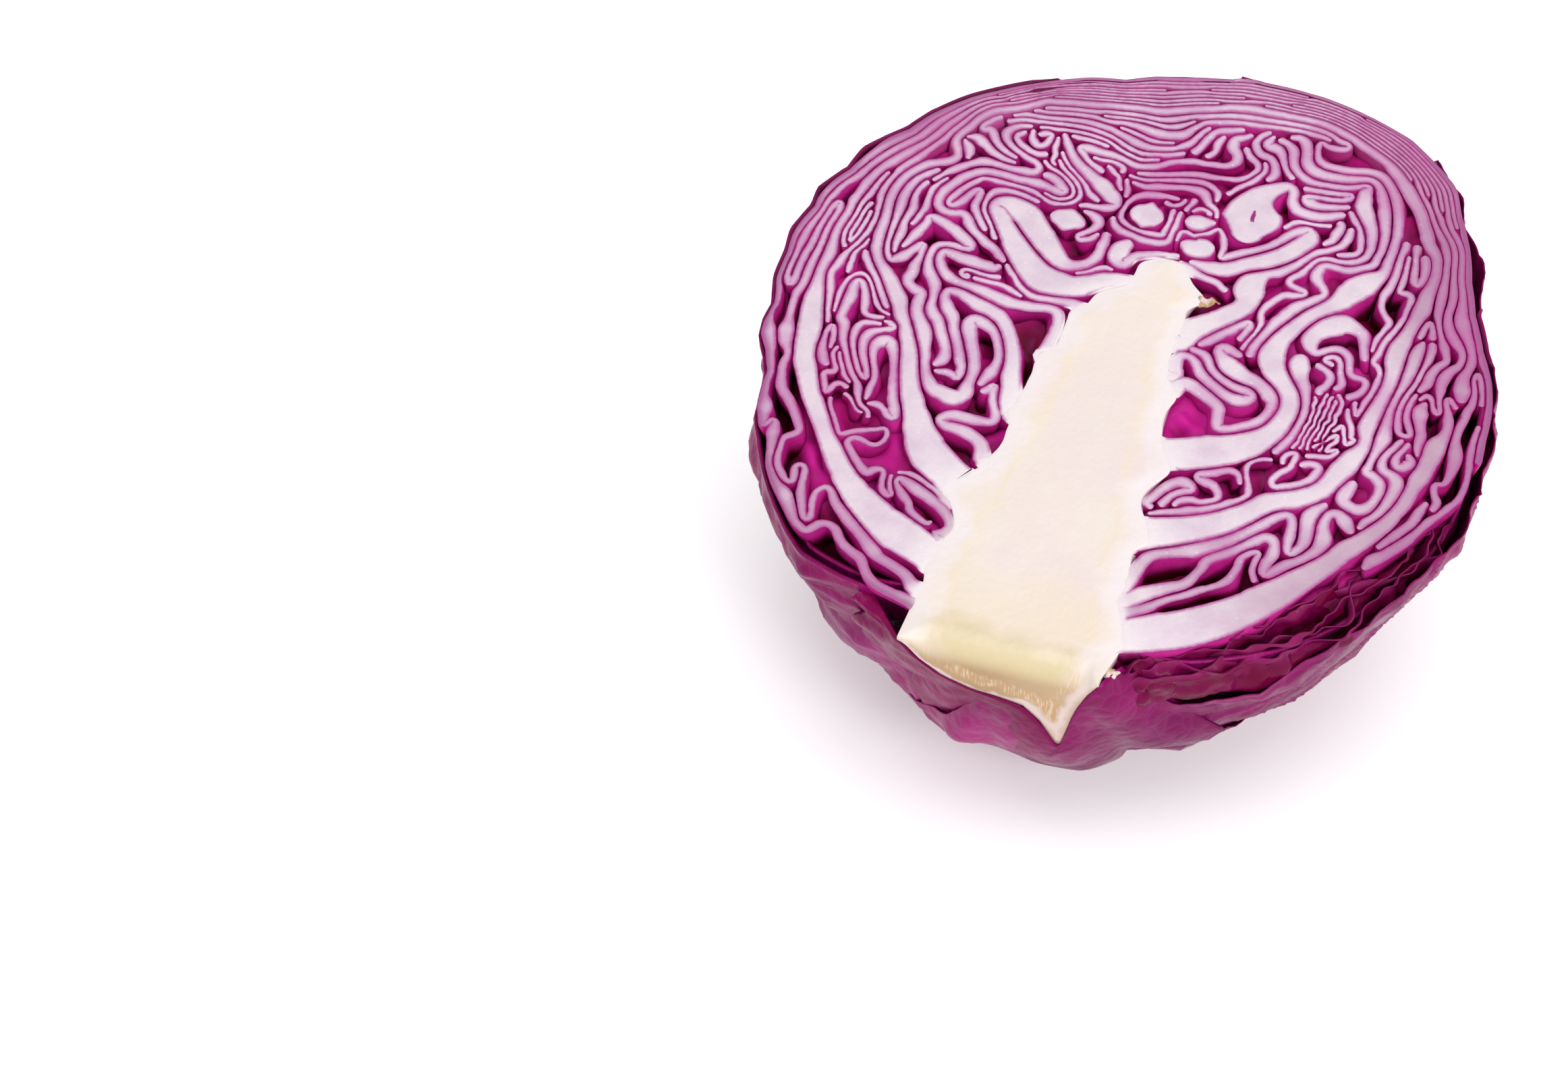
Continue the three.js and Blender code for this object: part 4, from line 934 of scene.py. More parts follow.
def outer_leaf(rows, columns, spec):
    """One outer leaf as a thin closed sheet. Down the grid it runs from the stem's base to its tip;
    across, between its two margins or the cut. Raised on it: a midrib that thins towards the tip, side
    ribs that leave it at a slant at even distances, a finer set between them, and a soft quilted
    swelling between ribs. Near a free margin it lifts, ripples and thins."""
    seed, middle, ragged, base = spec["seed"], spec["middle"], spec["ragged"], spec["base"]
    t = np.linspace(0, 1, rows)[:, None]
    s = np.linspace(0, 1, columns)[None]

    def jag(start):
        return (.7 * waves(t * 150, 0 * t, 52, start) + .3 * waves(t * 150, 0 * t, 19, start + 1)
                + .1 * waves(t * 150, 0 * t, 6, start + 2))

    # how far round it reaches on each side, and where it is cut off
    widen = spec["neck"] + (1 - spec["neck"]) * soft_step(t, 0, .42)
    low = middle - spec["low"] * widen + ragged * jag(seed)
    high = middle + spec["high"] * widen + ragged * jag(seed + 5)
    cut_low, cut_high = low < 0, high > math.pi
    dip = spec["dip"] * soft_step(t, .02, .08) * soft_step(t, .52, .36)
    low, high = np.clip(low, dip, math.pi), np.clip(high, 0, math.pi - .7 * dip)
    turn = low + (high - low) * s
    tip = spec["tip"] + spec["tip_curve"] * np.abs((turn - middle) / 1.2) ** 2.5
    tip = (tip + ragged * .7 * waves(turn * 60, 0 * turn, 40, seed + 9)
           + ragged * .15 * waves(turn * 60, 0 * turn, 11, seed + 10))
    fall = base + (np.maximum(tip, spec["pole"]) - base) * t

    # the leaf's own measures, in mm; a side that ends at the cut has no margin, so it counts as far off
    far_off = 60
    along = (base - fall) * 80
    across = (turn - middle) * BACK_RADIUS * np.sin(np.maximum(fall, .35))
    from_low = np.where(cut_low, far_off, (turn - low) * BACK_RADIUS * np.sin(fall))
    from_high = np.where(cut_high, far_off, (high - turn) * BACK_RADIUS * np.sin(fall))
    from_tip = (1 - t) * 75 + far_off * (spec["tip"] < spec["pole"])
    margin = np.minimum(np.minimum(from_low, from_high), from_tip)
    across = across + 5 * waves(across, along, 60, seed + 20) * soft_step(along, 5, 40)
    at_cut = np.minimum(np.where(cut_low, (turn - low) * BACK_RADIUS, far_off),
                        np.where(cut_high, (high - turn) * BACK_RADIUS, far_off))
    calm = soft_step(at_cut, 0, 9)

    # ribs
    fade = np.exp(-along / 75)
    mid_rib = bump(across, 0, 1.4 + 7.5 * fade) * (1.8 * fade ** 1.5 + .25)
    reach = np.abs(across)
    lean = (along - 1.15 * reach + .0042 * reach ** 2) / RIB_SPACING + np.where(across > 0, .5, 0)
    lean = lean + .10 * waves(across, along, 30, seed + 21)
    side = np.abs(lean - np.round(lean)) * RIB_SPACING
    strength = soft_step(along, 4, 30) * soft_step(reach, 0, 4) * (1 - .5 * soft_step(reach, 40, 90))
    side_rib = bump(side, 0, .8 + 1.3 * np.exp(-reach / 30)) * strength
    net = (reach * .9 + along * .55) / 6.5 + .25 * waves(across, along, 16, seed + 22)
    net_gap = np.abs(net - np.round(net)) * 6.5
    fine_rib = bump(net_gap, 0, .55) * soft_step(along, 15, 40) * soft_step(reach, 3, 9)

    # swellings between ribs, and the free margin
    quilt = (1 - bump(side, 0, 4.5)) * (.6 + .4 * waves(across, along, 9, seed + 23))
    swell = 1.5 * waves(across, along, 48, seed + 24) * soft_step(margin, 0, 20) * soft_step(fall, .1, .5)
    pucker = spec["pucker"] * (.35 * waves(across, along, 8, seed + 25)
                               + .5 * waves(across, along, 15, seed + 26))
    ripple = waves(across, along, 24, seed + 27) + .3 * waves(across, along, 10, seed + 28)
    lift = spec["curl"] * np.exp(-margin / 4.5) * (.55 + .6 * ripple)

    relief = mid_rib + .75 * side_rib + .22 * fine_rib + .8 * quilt * strength + (swell + pucker) * calm
    relief = relief * soft_step(fall, 0, .15)
    inner = (spec["out"] + spec["proud"] * soft_step(fall, .55, .3) + relief * .8 * calm + relief * .15
             + np.maximum(lift, -.3) * calm)
    thick = spec["thick"] * (.35 + .65 * soft_step(margin, 0, 3)) + .35 * mid_rib
    rib = np.clip(np.maximum(mid_rib / 1.3, np.maximum(.75 * side_rib, .4 * fine_rib)), 0, 1)
    stalk = bump(across, 0, 5 + 13 * fade) * np.exp(-along / 42)
    return tube(back_point(ring(turn, turn), ring(fall, fall), ring(inner + thick, inner)),
                rib=on_ring(rib, turn), base=on_ring(np.exp(-along / 26), turn), margin=on_ring(margin, turn),
                stalk=on_ring(stalk, turn), face=ring(1 + 0 * turn, 0 * turn), fold=on_ring(0, turn))


def leaf_spec(seed, middle, low, high, tip, out, **more):
    """A leaf's numbers. Angles in degrees; everything not given is an ordinary leaf's."""
    spec = dict(seed=seed, middle=math.radians(middle), low=math.radians(low), high=math.radians(high),
                tip=math.radians(tip), out=out, neck=.5, ragged=.03, tip_curve=.35, base=math.radians(170.5),
                pole=.012, curl=.9, pucker=.6, thick=.9, dip=0, proud=0)
    spec.update(more)
    return spec


OUTER_LEAVES = [    # (name, rows, columns, the leaf's numbers)
    ("inner_wrapper_leaf", 140, 220, leaf_spec(100, 84, 150, 150, -5, -2.8, neck=1, tip_curve=0, curl=0,
                                               thick=1.0, dip=.085, proud=1.4)),
    ("right_wrapper_leaf", 150, 140, leaf_spec(200, 48, 46, 62, 26, .1, ragged=.05, curl=1.8, pucker=.5)),
    ("left_wrapper_leaf", 140, 130, leaf_spec(300, 138, 62, 80, 20, -.1, dip=.06)),
    ("under_wrapper_leaf", 120, 120, leaf_spec(400, 92, 60, 40, 40, 1.2, neck=.42)),
]


def crumpled_edges():
    """The crumpled leaf edges at the lower right, between the thick lowest stalk and the outer leaf:
    five thin sheets side by side along the rim. Each runs from the stem to the right and goes 8 mm down,
    less at its ends. It wanders sideways in smooth random waves, more towards its top edge, which rises
    and falls and rolls over to one side."""
    run, down = np.linspace(0, 1, 240)[:, None], np.linspace(0, 1, 16)[None] ** 1.3
    near = [(12, -63), (20, -60.5), (30, -54.5), (39, -46.5), (47, -37), (54, -26), (60, -15), (65, -4)]
    away = [(14, -68), (25, -65), (37, -59.5), (49, -50.5), (58, -40.5), (65.5, -29), (70.5, -17), (73.5, -3)]
    first, last = (np.stack([averaged(np.interp(run[:, 0], np.linspace(0, 1, len(line)), c), 33)
                             for c in np.array(line, float).T], -1)[:, None] for line in (near, away))
    outwards = (last - first) / np.hypot(*(last - first)[:, 0].T)[:, None, None]
    length = run * 88
    parts = []
    for k in range(5):
        share = (k + .3) / 5.9
        deep = down * (2 + 6 * soft_step(run, 0, .12) * soft_step(run, 1, .9))
        top = -1.0 - .8 * k + 1.1 * waves(length, 0 * run, 21, 70 + k) + .7 * waves(length, 0 * run, 8, 80 + k)
        sway = (1.5 * waves(length, deep, 17, 60 + k) + .9 * waves(length, deep * 1.5, 8, 65 + k)
                + .4 * waves(length, deep, 4, 68 + k)) * (1 - .5 * down)
        roll = 2.2 * np.exp(-deep / 2.2) * waves(length, 0 * run, 26, 90 + k)
        thick = .75 - .4 * np.exp(-deep / 1.5)
        side = ring(sway + roll + thick / 2, sway + roll - thick / 2)
        ends = np.minimum(1, 12 * np.minimum(run, 1 - run) + .02)
        place = first * (1 - share) + last * share + outwards * (side * ends)[..., None]
        # painted shade: fold darkens each sheet most of the way, by an amount that wanders; margin counts down
        # from the top edge, which gets the painted highlight
        shade_waves = .5 + .5 * waves(length, deep, 9, 95 + k)
        parts.append(tube(
            to_row(place[..., 0], place[..., 1], on_ring(np.minimum(top, -.3) - deep, deep)),
            rib=on_ring(0, deep), base=on_ring(0, deep), margin=on_ring(deep, deep), stalk=on_ring(0, deep),
            face=on_ring(1, deep), fold=on_ring(.55 + .4 * shade_waves, deep)))
    return gather(parts)


# ---------------------------------------------------------------- the core

STEM_FROM = -62         # mm, where the plain core ends and the stem's cut end begins
WALL_DEEP = 17          # mm that the core's sides go down below the cut
# The stem's cut end: how far it reaches below the cut face, as (u, mm down).
STEM_DROP = [(-25.4,.8),(-23.9,1.6),(-20.7,5.5),(-16,9.2),(-9.8,11.5),(-4.6,12),(.7,13),(4.4,17),(7.6,23),
             (8.7,24.5),(9.8,18.5),(11,11.4),(13.2,4.8),(15.2,1)]


def end_plane(u):
    """Where the stem's cut end lies along the stem, in mm: a little slanted."""
    return -73.4 + (u + 25) * .06


def plain_core(v):
    """The core above the stem's end, a row for each v: rings of (u, v, z, mm from the cut's edge), and
    the depths of the places down its walls."""
    soften = np.array([1, 3, 5, 7, 8, 7, 5, 3, 1]) / 40
    left, right = (np.convolve(np.pad(e, 4, mode="edge"), soften, "valid") for e in core_edges(v))
    left, right = left + .15 * waves(v, 0 * v, 4.5, 51), right + .15 * waves(v, 0 * v, 4.5, 52)
    plain_left, plain_right = averaged(left, 25), averaged(right, 25)
    depth = np.array([.08, .35, 1., 2.2, 4., 7., 10.5, 14., WALL_DEEP])
    half = (plain_right - plain_left) / 2
    reach = np.sqrt(np.clip(1 - (depth[None] / (np.maximum(half, 6)[:, None] * 1.15)) ** 2, .02, 1))
    spur = np.exp(-depth / 1.6)[None]
    mid = (plain_left + plain_right)[:, None] / 2
    wall_l = mid - half[:, None] * reach - (plain_left - left)[:, None] * spur
    wall_r = mid + half[:, None] * reach + (right - plain_right)[:, None] * spur
    t = np.linspace(0, 1, 46)[None]
    top = (left + .12)[:, None] * (1 - t) + (right - .12)[:, None] * t
    u = np.hstack([wall_l[:, ::-1], top, wall_r])
    deep = np.minimum(depth[None], np.maximum(half, 4)[:, None] * 1.1)
    deep = np.hstack([deep[:, ::-1], 0 * top, deep])
    edge = np.hstack([0 * wall_l, np.minimum(top - left[:, None], right[:, None] - top), 0 * wall_r])
    v = np.broadcast_to(v[:, None], u.shape)
    swell = .22 * waves(u, v, 22, 3) + .05 * waves(u, v, 5, 4)
    z = -deep + np.where(deep == 0, -.04 + (.2 + swell * .5) * soft_step(edge, 0, 4), 0)
    return u, v, z, edge, depth


def stem_end(start_u, start_z, wall_l, wall_r, depth):
    """The stem's cut end, column by column from the core's first row: flat, round a bend (an arc of
    5 mm), down the end, and in underneath, with the core's walls carried on at its two sides. Rings of
    (u, v, z, how far it counts as cut end, mm from the end's lower outline, mm deep)."""
    side = np.array(STEM_DROP, float)
    corner = np.interp(np.linspace(0, 1, len(start_u)), [0, 1], [side[0, 0], side[-1, 0]])
    drop = np.interp(corner, *side.T)
    bend = np.minimum(5, drop * .8)
    plane = end_plane(corner)
    flat, arc, down = (np.linspace(0, 1, count)[skip:, None] for count, skip in ((6, 1), (11, 1), (12, 1)))
    under = np.array([1.5, 7])[:, None]
    down_z = -bend - (drop - bend) * down
    u = np.vstack([start_u + (corner - start_u) * flat, corner + 0 * arc, corner + 0 * down,
                   corner + 0 * under])
    v = np.vstack([STEM_FROM + (plane + bend - STEM_FROM) * flat,
                   plane + bend * (1 - np.sin(arc * math.pi / 2)),
                   plane - .25 * waves(corner, down_z, 7, 9) * np.sin(down * math.pi), plane + under])
    z = np.vstack([start_z + 0 * flat, -bend * (1 - np.cos(arc * math.pi / 2)), down_z, -drop - .1 * under])
    none = 0 * corner
    is_end = np.vstack([none + 0 * flat, np.clip(arc * 1.3 - .3, 0, 1) + none, 1 + none + 0 * down,
                        1 + none + 0 * under])
    behind = np.vstack([flat ** 4, 1 + 0 * arc, 1 + 0 * down, 1 + 0 * under])

    def wall(k, outline):
        """The core's wall below column k, as deep as the core's own and drawn in under the stem."""
        first = np.maximum(-z[:, k:][:, :1], 0)
        most = np.maximum(WALL_DEEP - np.arange(len(z))[:, None] * 4, first + 1.5)
        deeper = first + (most - first) * depth[None] / WALL_DEEP
        wall_u = np.interp(deeper, depth, outline) + (u[:, k] - start_u[k])[:, None] * np.exp(-deeper / 9)
        return [wall_u, v[:, k][:, None] + 3 * behind * (deeper - first), -deeper,
                is_end[:, k][:, None] + 0 * wall_u]

    left, right = [part[:, ::-1] for part in wall(0, wall_l)], wall(-1, wall_r)
    # how far each place lies from the lower outline
    from_u, from_z, run_u, run_z = side[:-1, 0], -side[:-1, 1], np.diff(side[:, 0]), -np.diff(side[:, 1])
    off_u, off_z = u[..., None] - from_u, z[..., None] - from_z
    on = np.clip((off_u * run_u + off_z * run_z) / (run_u ** 2 + run_z ** 2), 0, 1)
    hem = np.hypot(off_u - on * run_u, off_z - on * run_z).min(-1)
    whole = [np.hstack(parts) for parts in zip(left, (u, v, z, is_end), right)]
    hem = np.hstack([0 * left[0], hem, 0 * right[0]])
    hidden = np.hstack([-left[2], 0 * z, -right[2]]) * (1 - whole[3])
    return *whole, hem, hidden


def core_solid():
    """The core as a grid: rows up the stem, and in each row a closed ring over the cut and round the
    back. The ring's top runs between the two drawn edges. Below the cut the width falls as the half
    circle of a round stem does, and the drawn spurs fade into its plain width within 3 mm. The lowest
    rows are the stem's cut end."""
    u, v, z, edge, depth = plain_core(np.linspace(STEM_FROM, 38.9, 190))
    n = len(depth)
    wall_l, start_u, wall_r = u[0, :n][::-1], u[0, n:-n], u[0, -n:]
    end_u, end_v, end_z, is_end, hem, hidden = stem_end(start_u, z[0, n:-n], wall_l, wall_r, depth)

    def joined(core, end):
        return np.vstack([end[::-1], core])

    across, along = joined(u, end_u), joined(v, end_v)
    return tube(to_row(across, along, joined(z, end_z)), edge=joined(edge, hem),
                depth=joined(np.maximum(-z, 0), hidden), across=across, along=along,
                cut_end=joined(0 * u, is_end), hem=joined(9 + 0 * u, hem))


def dried_scrap(mid_u, mid_v, half_u, half_v, slant, lift, hem_mid, hem_edge):
    """A scrap of dried leaf: a thin wavy closed sheet whose outline is an uneven round, half_u by half_v
    mm from the middle to the sides before it is sheared by slant, and lift mm over the cut."""
    reach, turn = np.linspace(.02, 1, 9)[:, None], np.linspace(0, 2 * math.pi, 44, endpoint=False)[None]
    reach = reach * (1 + .16 * np.sin(3 * turn + 1) + .1 * np.sin(7 * turn))
    u = mid_u + half_u * reach * np.cos(turn)
    v = mid_v + half_v * reach * np.sin(turn) + slant * (u - mid_u)
    z = lift + .4 * np.sin(2.3 * u + v) + .3 * np.sin(3.1 * v) - .5 * reach ** 2
    reach = stack(reach, reach)
    one = 0 * reach + 1
    return tube(to_row(stack(u, u), stack(v, v), stack(z, z - .35)), edge=3 * one, depth=0 * one,
                across=0 * one, along=-70 * one, cut_end=one, hem=hem_mid + (hem_edge - hem_mid) * reach)


# ---------------------------------------------------------------- leaf bases round the stem

def leaf_base_collar():
    """The bases of the outermost leaves, cut off with the stem: a closed thin sheet from a margin that
    hugs the stem's cut end down to the round back. Between the two it is a quadratic curve whose middle
    point stands proud, most beside the low right corner, so the leaf bulges there."""
    margin = np.array([(-36, -60.4, -3.4), (-31.5, -65.6, -3.2), (-27.6, -70, -3.)]
                      + [(u - .4 * (u < -20), end_plane(u) - .4, -d - .1) for u, d in STEM_DROP[1:10]]
                      + [(u + .1, end_plane(u) - .3, -d) for u, d in STEM_DROP[10:]]
                      + [(16.2, -68.5, -1.0), (18.6, -64.2, -1.2)], float)
    run = np.r_[0, np.cumsum(np.sqrt((np.diff(margin, axis=0) ** 2).sum(1)))]
    at = np.linspace(0, run[-1], 220)
    s = at / run[-1]
    start = to_row(*(averaged(np.interp(at, run, column), 11) for column in margin.T))[:, None]
    turn = np.interp(s, [0, .2, .35, .55, .68, .8, .92, 1], [3.05, 2.9, 2.4, 1.85, 1.5, 1.1, .75, .6])[:, None]
    fall = 2.5 + .2 * soft_step(turn, 1.6, 2.4) + .03 * np.sin(turn * 9) + .015 * np.sin(turn * 31)
    stop = back_point(turn, fall, 2.8)
    bulge = np.interp(s, [0, .2, .4, .6, .72, .85, 1], [.3, .8, 1.6, 4.5, 7.5, 5, 1])[:, None, None] * MM
    centre = to_row(MIDDLE[0], MIDDLE[1] - 10., -8.)

    def outwards(place):
        return (place - centre) / np.linalg.norm(place - centre, axis=-1, keepdims=True)

    proud = start * .55 + stop * .45
    proud = proud + outwards(proud) * bulge
    t = np.linspace(0, 1, 24)[None, :, None]
    outer = (1 - t) ** 2 * start + 2 * t * (1 - t) * proud + t ** 2 * stop
    away = outwards(outer)
    across, down = at[:, None], 26 * t[..., 0]
    relief = (.5 * waves(across, down, 17, 41) + .22 * waves(across, down * .6, 6, 42)) * soft_step(down, 0, 6)
    outer = outer + away * (relief * MM)[..., None]
    inner = outer - away * MM * (.5 + .5 * soft_step(down, 0, 5))[..., None]
    # painted shade: fold darkens the collar most at its left end and towards its margin, and not at the right
    dark = np.interp(s, [0, .5, .62, .75, 1], [.6, .5, .25, 0, 0])[:, None] * (1 - .7 * down / 26)
    return tube(np.concatenate([outer, inner[:, ::-1]], 1), rib=on_ring(0, dark), base=on_ring(0, dark),
                margin=on_ring(down + 1.5, dark), stalk=on_ring(0, dark), face=on_ring(1, dark),
                fold=on_ring(dark, dark))


# ---------------------------------------------------------------- materials

UNDER_STUDIO_LIGHT = .87        # share of a wanted brightness that a skin needs in this bright light


def srgb(r, g, b):
    """A colour given as the 0-255 screen values that it should show under the studio light."""
    linear = (((c / 255 + .055) / 1.055) ** 2.4 if c > 10 else c / 3294.6 for c in (r, g, b))
    return tuple(UNDER_STUDIO_LIGHT * c for c in linear) + (1,)


class Finish:
    """A node material built a line at a time. Every call returns an output to link on. Places are in
    metres: across the floor to the right (across) and away from the front (along)."""

    def __init__(self, name, **sockets):
        self.material = bpy.data.materials.new(name)
        self.material.use_nodes = True
        self.tree = self.material.node_tree
        self.shader = self.tree.nodes["Principled BSDF"]
        for key, value in sockets.items():
            self.shader.inputs[key.replace("_", " ")].default_value = value
        self.place = self.tree.nodes.new("ShaderNodeTexCoord").outputs["Object"]
        self.across = self.node("ShaderNodeSeparateXYZ", "X", Vector=self.place)
        self.along = self.node("ShaderNodeSeparateXYZ", "Y", Vector=self.place)

    def node(self, kind, output, settings=None, **inputs):
        """A node; inputs are named, or i and a number, and are either a value or an output to link."""
        node = self.tree.nodes.new(kind)
        for key, value in (settings or {}).items():
            setattr(node, key, value)
        for key, value in inputs.items():
            socket = node.inputs[int(key[1:])] if key[0] == "i" and key[1:].isdigit() else node.inputs[key]
            if isinstance(value, bpy.types.NodeSocket):
                self.tree.links.new(value, socket)
            else:
                socket.default_value = value
        return node.outputs[output]

    def value(self, name):
        return self.node("ShaderNodeAttribute", "Fac", dict(attribute_name=name))

    def step(self, value, low, high, to_low=0., to_high=1.):
        """to_low below low, to_high above high (or the other way round), a smooth S between."""
        ends = {"From Min": low, "From Max": high, "To Min": to_low, "To Max": to_high}
        return self.node("ShaderNodeMapRange", "Result", dict(interpolation_type='SMOOTHSTEP'), Value=value,
                         **ends)

    def math(self, kind, a, b=0.):
        return self.node("ShaderNodeMath", 0, dict(operation=kind), i0=a, i1=b)

    def times(self, a, b):
        return self.math('MULTIPLY', a, b)

    def plus(self, a, b):
        return self.math('ADD', a, b)

    def mix(self, share, a, b):
        """From a to b by share; each is an output or a colour in screen values."""
        a, b = (srgb(*colour) if isinstance(colour, tuple) else colour for colour in (a, b))
        return self.node("ShaderNodeMix", 2, dict(data_type='RGBA'), i0=share, i6=a, i7=b)

    def noise(self, scale, detail=2., roughness=.5):
        return self.node("ShaderNodeTexNoise", 0, Vector=self.place, Scale=scale, Detail=detail,
                         Roughness=roughness)

    def cells(self, scale, feature='F1'):
        return self.node("ShaderNodeTexVoronoi", "Distance", dict(feature=feature), Vector=self.place,
                         Scale=scale)

    def finish(self, colour, rough=None, height=None, depth=.0002, strength=1.):
        self.tree.links.new(colour, self.shader.inputs["Base Color"])
        if rough is not None:
            self.tree.links.new(rough, self.shader.inputs["Roughness"])
        if height is not None:
            bump = self.node("ShaderNodeBump", 0, Height=height, Distance=depth, Strength=strength)
            self.tree.links.new(bump, self.shader.inputs["Normal"])
        return self.material


def cut_leaf_finish():
    """Lilac flesh between two thin purple skins, whiter in thick stalks and where a leaf joins the core;
    mauve in thin leaves near the rim, at the front and at the right. The magenta walls turn dark red
    downwards, a painted shade, and emit a little painted light."""
    f = Finish("cut_leaf", IOR=1.4, Specular_IOR_Level=.25, Emission_Strength=.15)
    edge, depth, rim, half, root = (f.value(name) for name in ("edge", "depth", "rim", "half", "root"))
    blur = f.plus(edge, f.step(f.noise(700., 2.), .3, .7, -.07, .07))
    patch = f.noise(70., 3.)
    lilac = f.mix(f.step(patch, .35, .65), (213, 188, 207), (196, 157, 189))
    stalk = f.mix(f.step(f.noise(160., 3.), .35, .7), (216, 200, 210), (206, 186, 201))
    stalk = f.mix(f.step(root, .3, .95), stalk, (224, 213, 217))
    flesh = f.mix(f.math('MAXIMUM', f.step(half, 1., 2.5), f.step(root, .7, 1.)), lilac, stalk)
    flesh = f.mix(f.step(f.cells(420.), .16, .05, 0., .5), flesh, (232, 220, 230))
    thin = f.step(half, 2.2, 1.2)
    flesh = f.mix(f.times(thin, f.step(rim, 13., 2., 0., .6)), flesh, (186, 128, 170))
    low = f.times(thin, f.step(f.along, -.01, -.055, 0., .35))
    flesh = f.mix(low, flesh, (138, 66, 112))
    at_right = f.times(f.step(rim, 24., 10.), f.step(f.across, .03, .055, 0., .5))
    flesh = f.mix(at_right, flesh, (142, 66, 116))
    flesh = f.mix(f.times(thin, f.step(f.noise(34., 3.), .48, .72, 0., .5)), flesh, (190, 108, 162))
    flesh = f.mix(f.step(rim, 2.2, .4, 0., .7), flesh, (134, 66, 114))
    inwards = f.math('DIVIDE', blur, f.math('MINIMUM', half, 1.3))
    blush = f.mix(f.step(inwards, .85, .12, 0., .85), flesh, (168, 82, 144))
    skin = f.mix(f.step(f.noise(120.), .35, .65), (172, 54, 132), (138, 38, 108))
    pressed = f.times(f.step(f.along, .028, .055), f.step(rim, 16., 9., 0., .6))
    skin = f.mix(pressed, skin, (178, 104, 152))
    top = f.mix(f.step(blur, .24, .1), blush, skin)
    top = f.mix(f.step(root, .86, .97), top, flesh)
    wall = f.mix(f.step(f.noise(140., 3.), .35, .7), (196, 40, 142), (168, 24, 116))
    wall = f.mix(pressed, wall, (196, 100, 160))
    # painted shade: the walls darken to dark red from 1.3 to 5 mm below the cut
    wall = f.mix(f.step(depth, 1.3, 5.), wall, (78, 3, 22))
    colour = f.mix(f.step(depth, .12, .5), top, wall)
    # painted light: the walls emit a little magenta light, in place of the light that the flesh lets through
    painted_glow = f.times(f.step(depth, .1, .4), f.step(depth, 4., 1.2))
    f.tree.links.new(f.mix(painted_glow, (0, 0, 0), (176, 16, 112)), f.shader.inputs["Emission Color"])
    rough = f.step(f.noise(500.), .3, .7, .26, .5)
    grain = f.plus(f.noise(1100., 2.), f.times(f.noise(260., 2.), 1.6))
    return f.finish(colour, rough, grain, .00022, .5)


def core_finish():
    """Cream flesh with a pink cast and two faint yellow lines of fibres, olive towards the stem's end and
    magenta only deep in the gaps, with painted shade darker below that; the stem's cut end is tan with
    pale fibres and a pale rind."""
    f = Finish("core_flesh", IOR=1.4)
    edge, depth, u, v, end = (f.value(name) for name in ("edge", "depth", "across", "along", "cut_end"))
    soft = f.noise(45., 3.)
    flesh = f.mix(f.step(soft, .35, .65), (225, 213, 204), (223, 208, 205))
    flesh = f.mix(f.step(v, -8., 28., 0., .6), flesh, (229, 216, 203))
    left = f.plus(u, f.step(v, -70., 19., 20., 14.))
    right = f.math('SUBTRACT', u, f.step(v, -70., 19., 10., 2.5))
    wander = f.step(f.noise(120., 3.), .25, .75, -1.6, 1.6)
    for line in (left, right):
        near = f.step(f.math('ABSOLUTE', f.plus(line, wander)), 2.2, .1, 0., .3)
        flesh = f.mix(near, flesh, (228, 211, 178))
    stub = f.times(f.step(u, 6., 9.), f.step(v, 26., 28.))
    flesh = f.mix(f.times(stub, f.step(f.noise(420., 2.), .35, .6, .35, .95)), flesh, (196, 172, 136))
    cream = f.step(f.plus(v, f.step(f.noise(60.), .3, .7, -4., 4.)), -46., -60., 0., .8)
    flesh = f.mix(cream, flesh, (224, 209, 188))
    olive = f.step(f.plus(v, f.step(f.noise(140., 3.), .3, .7, -1.6, 1.6)), -62., -69., 0., .75)
    flesh = f.mix(olive, flesh, (205, 188, 146))
    rind = f.mix(f.step(v, -58., -50.), (222, 200, 172), (222, 196, 206))
    flesh = f.mix(f.step(f.plus(edge, wander), 6.5, 1.5, 0., .7), flesh, (229, 219, 223))
    flesh = f.mix(f.step(edge, .5, .1, 0., .2), flesh, rind)
    wall = f.mix(f.step(depth, .3, 4.), (226, 200, 212), (184, 70, 148))
    # painted shade: the core's walls darken from 3 to 9 mm below the cut
    wall = f.mix(f.step(depth, 3., 9.), wall, (120, 20, 84))
    body = f.mix(f.step(depth, .15, .8), flesh, wall)
    hem = f.plus(f.value("hem"), f.step(f.noise(220., 3.), .3, .7, -.5, .5))
    tan = f.mix(f.step(f.noise(80., 3.), .4, .65), (188, 158, 122), (176, 143, 106))
    tan = f.mix(f.step(end, 1., .2), tan, (206, 188, 144))
    fibre = f.node("ShaderNodeTexNoise", 0, Vector=f.node(
        "ShaderNodeMapping", 0, Vector=f.place, Scale=(2600., 260., 260.)), Scale=1., Detail=2.)
    band = f.times(f.step(hem, 2., 2.8), f.step(hem, 6., 4.6))
    dry = f.mix(f.step(fibre, .5, .6), (198, 156, 106), (228, 208, 180))
    tan = f.mix(f.times(band, f.step(f.noise(170., 2.), .38, .56, .1, .6)), tan, dry)
    tan = f.mix(f.step(f.math('DIVIDE', hem, f.step(u, -6., 5., 1.1, 3.4)), 1., .5), tan, (216, 195, 188))
    low = f.times(f.step(u, 4., 6.5), f.step(hem, 1.4, .3))
    tan = f.mix(f.times(low, .45), tan, (190, 150, 108))
    colour = f.mix(end, body, tan)
    rough = f.step(f.noise(300.), .3, .7, .30, .5)
    grain = f.plus(f.noise(700., 2.), f.times(f.noise(120., 3.), 2.))
    return f.finish(colour, rough, grain, .00025, .45)


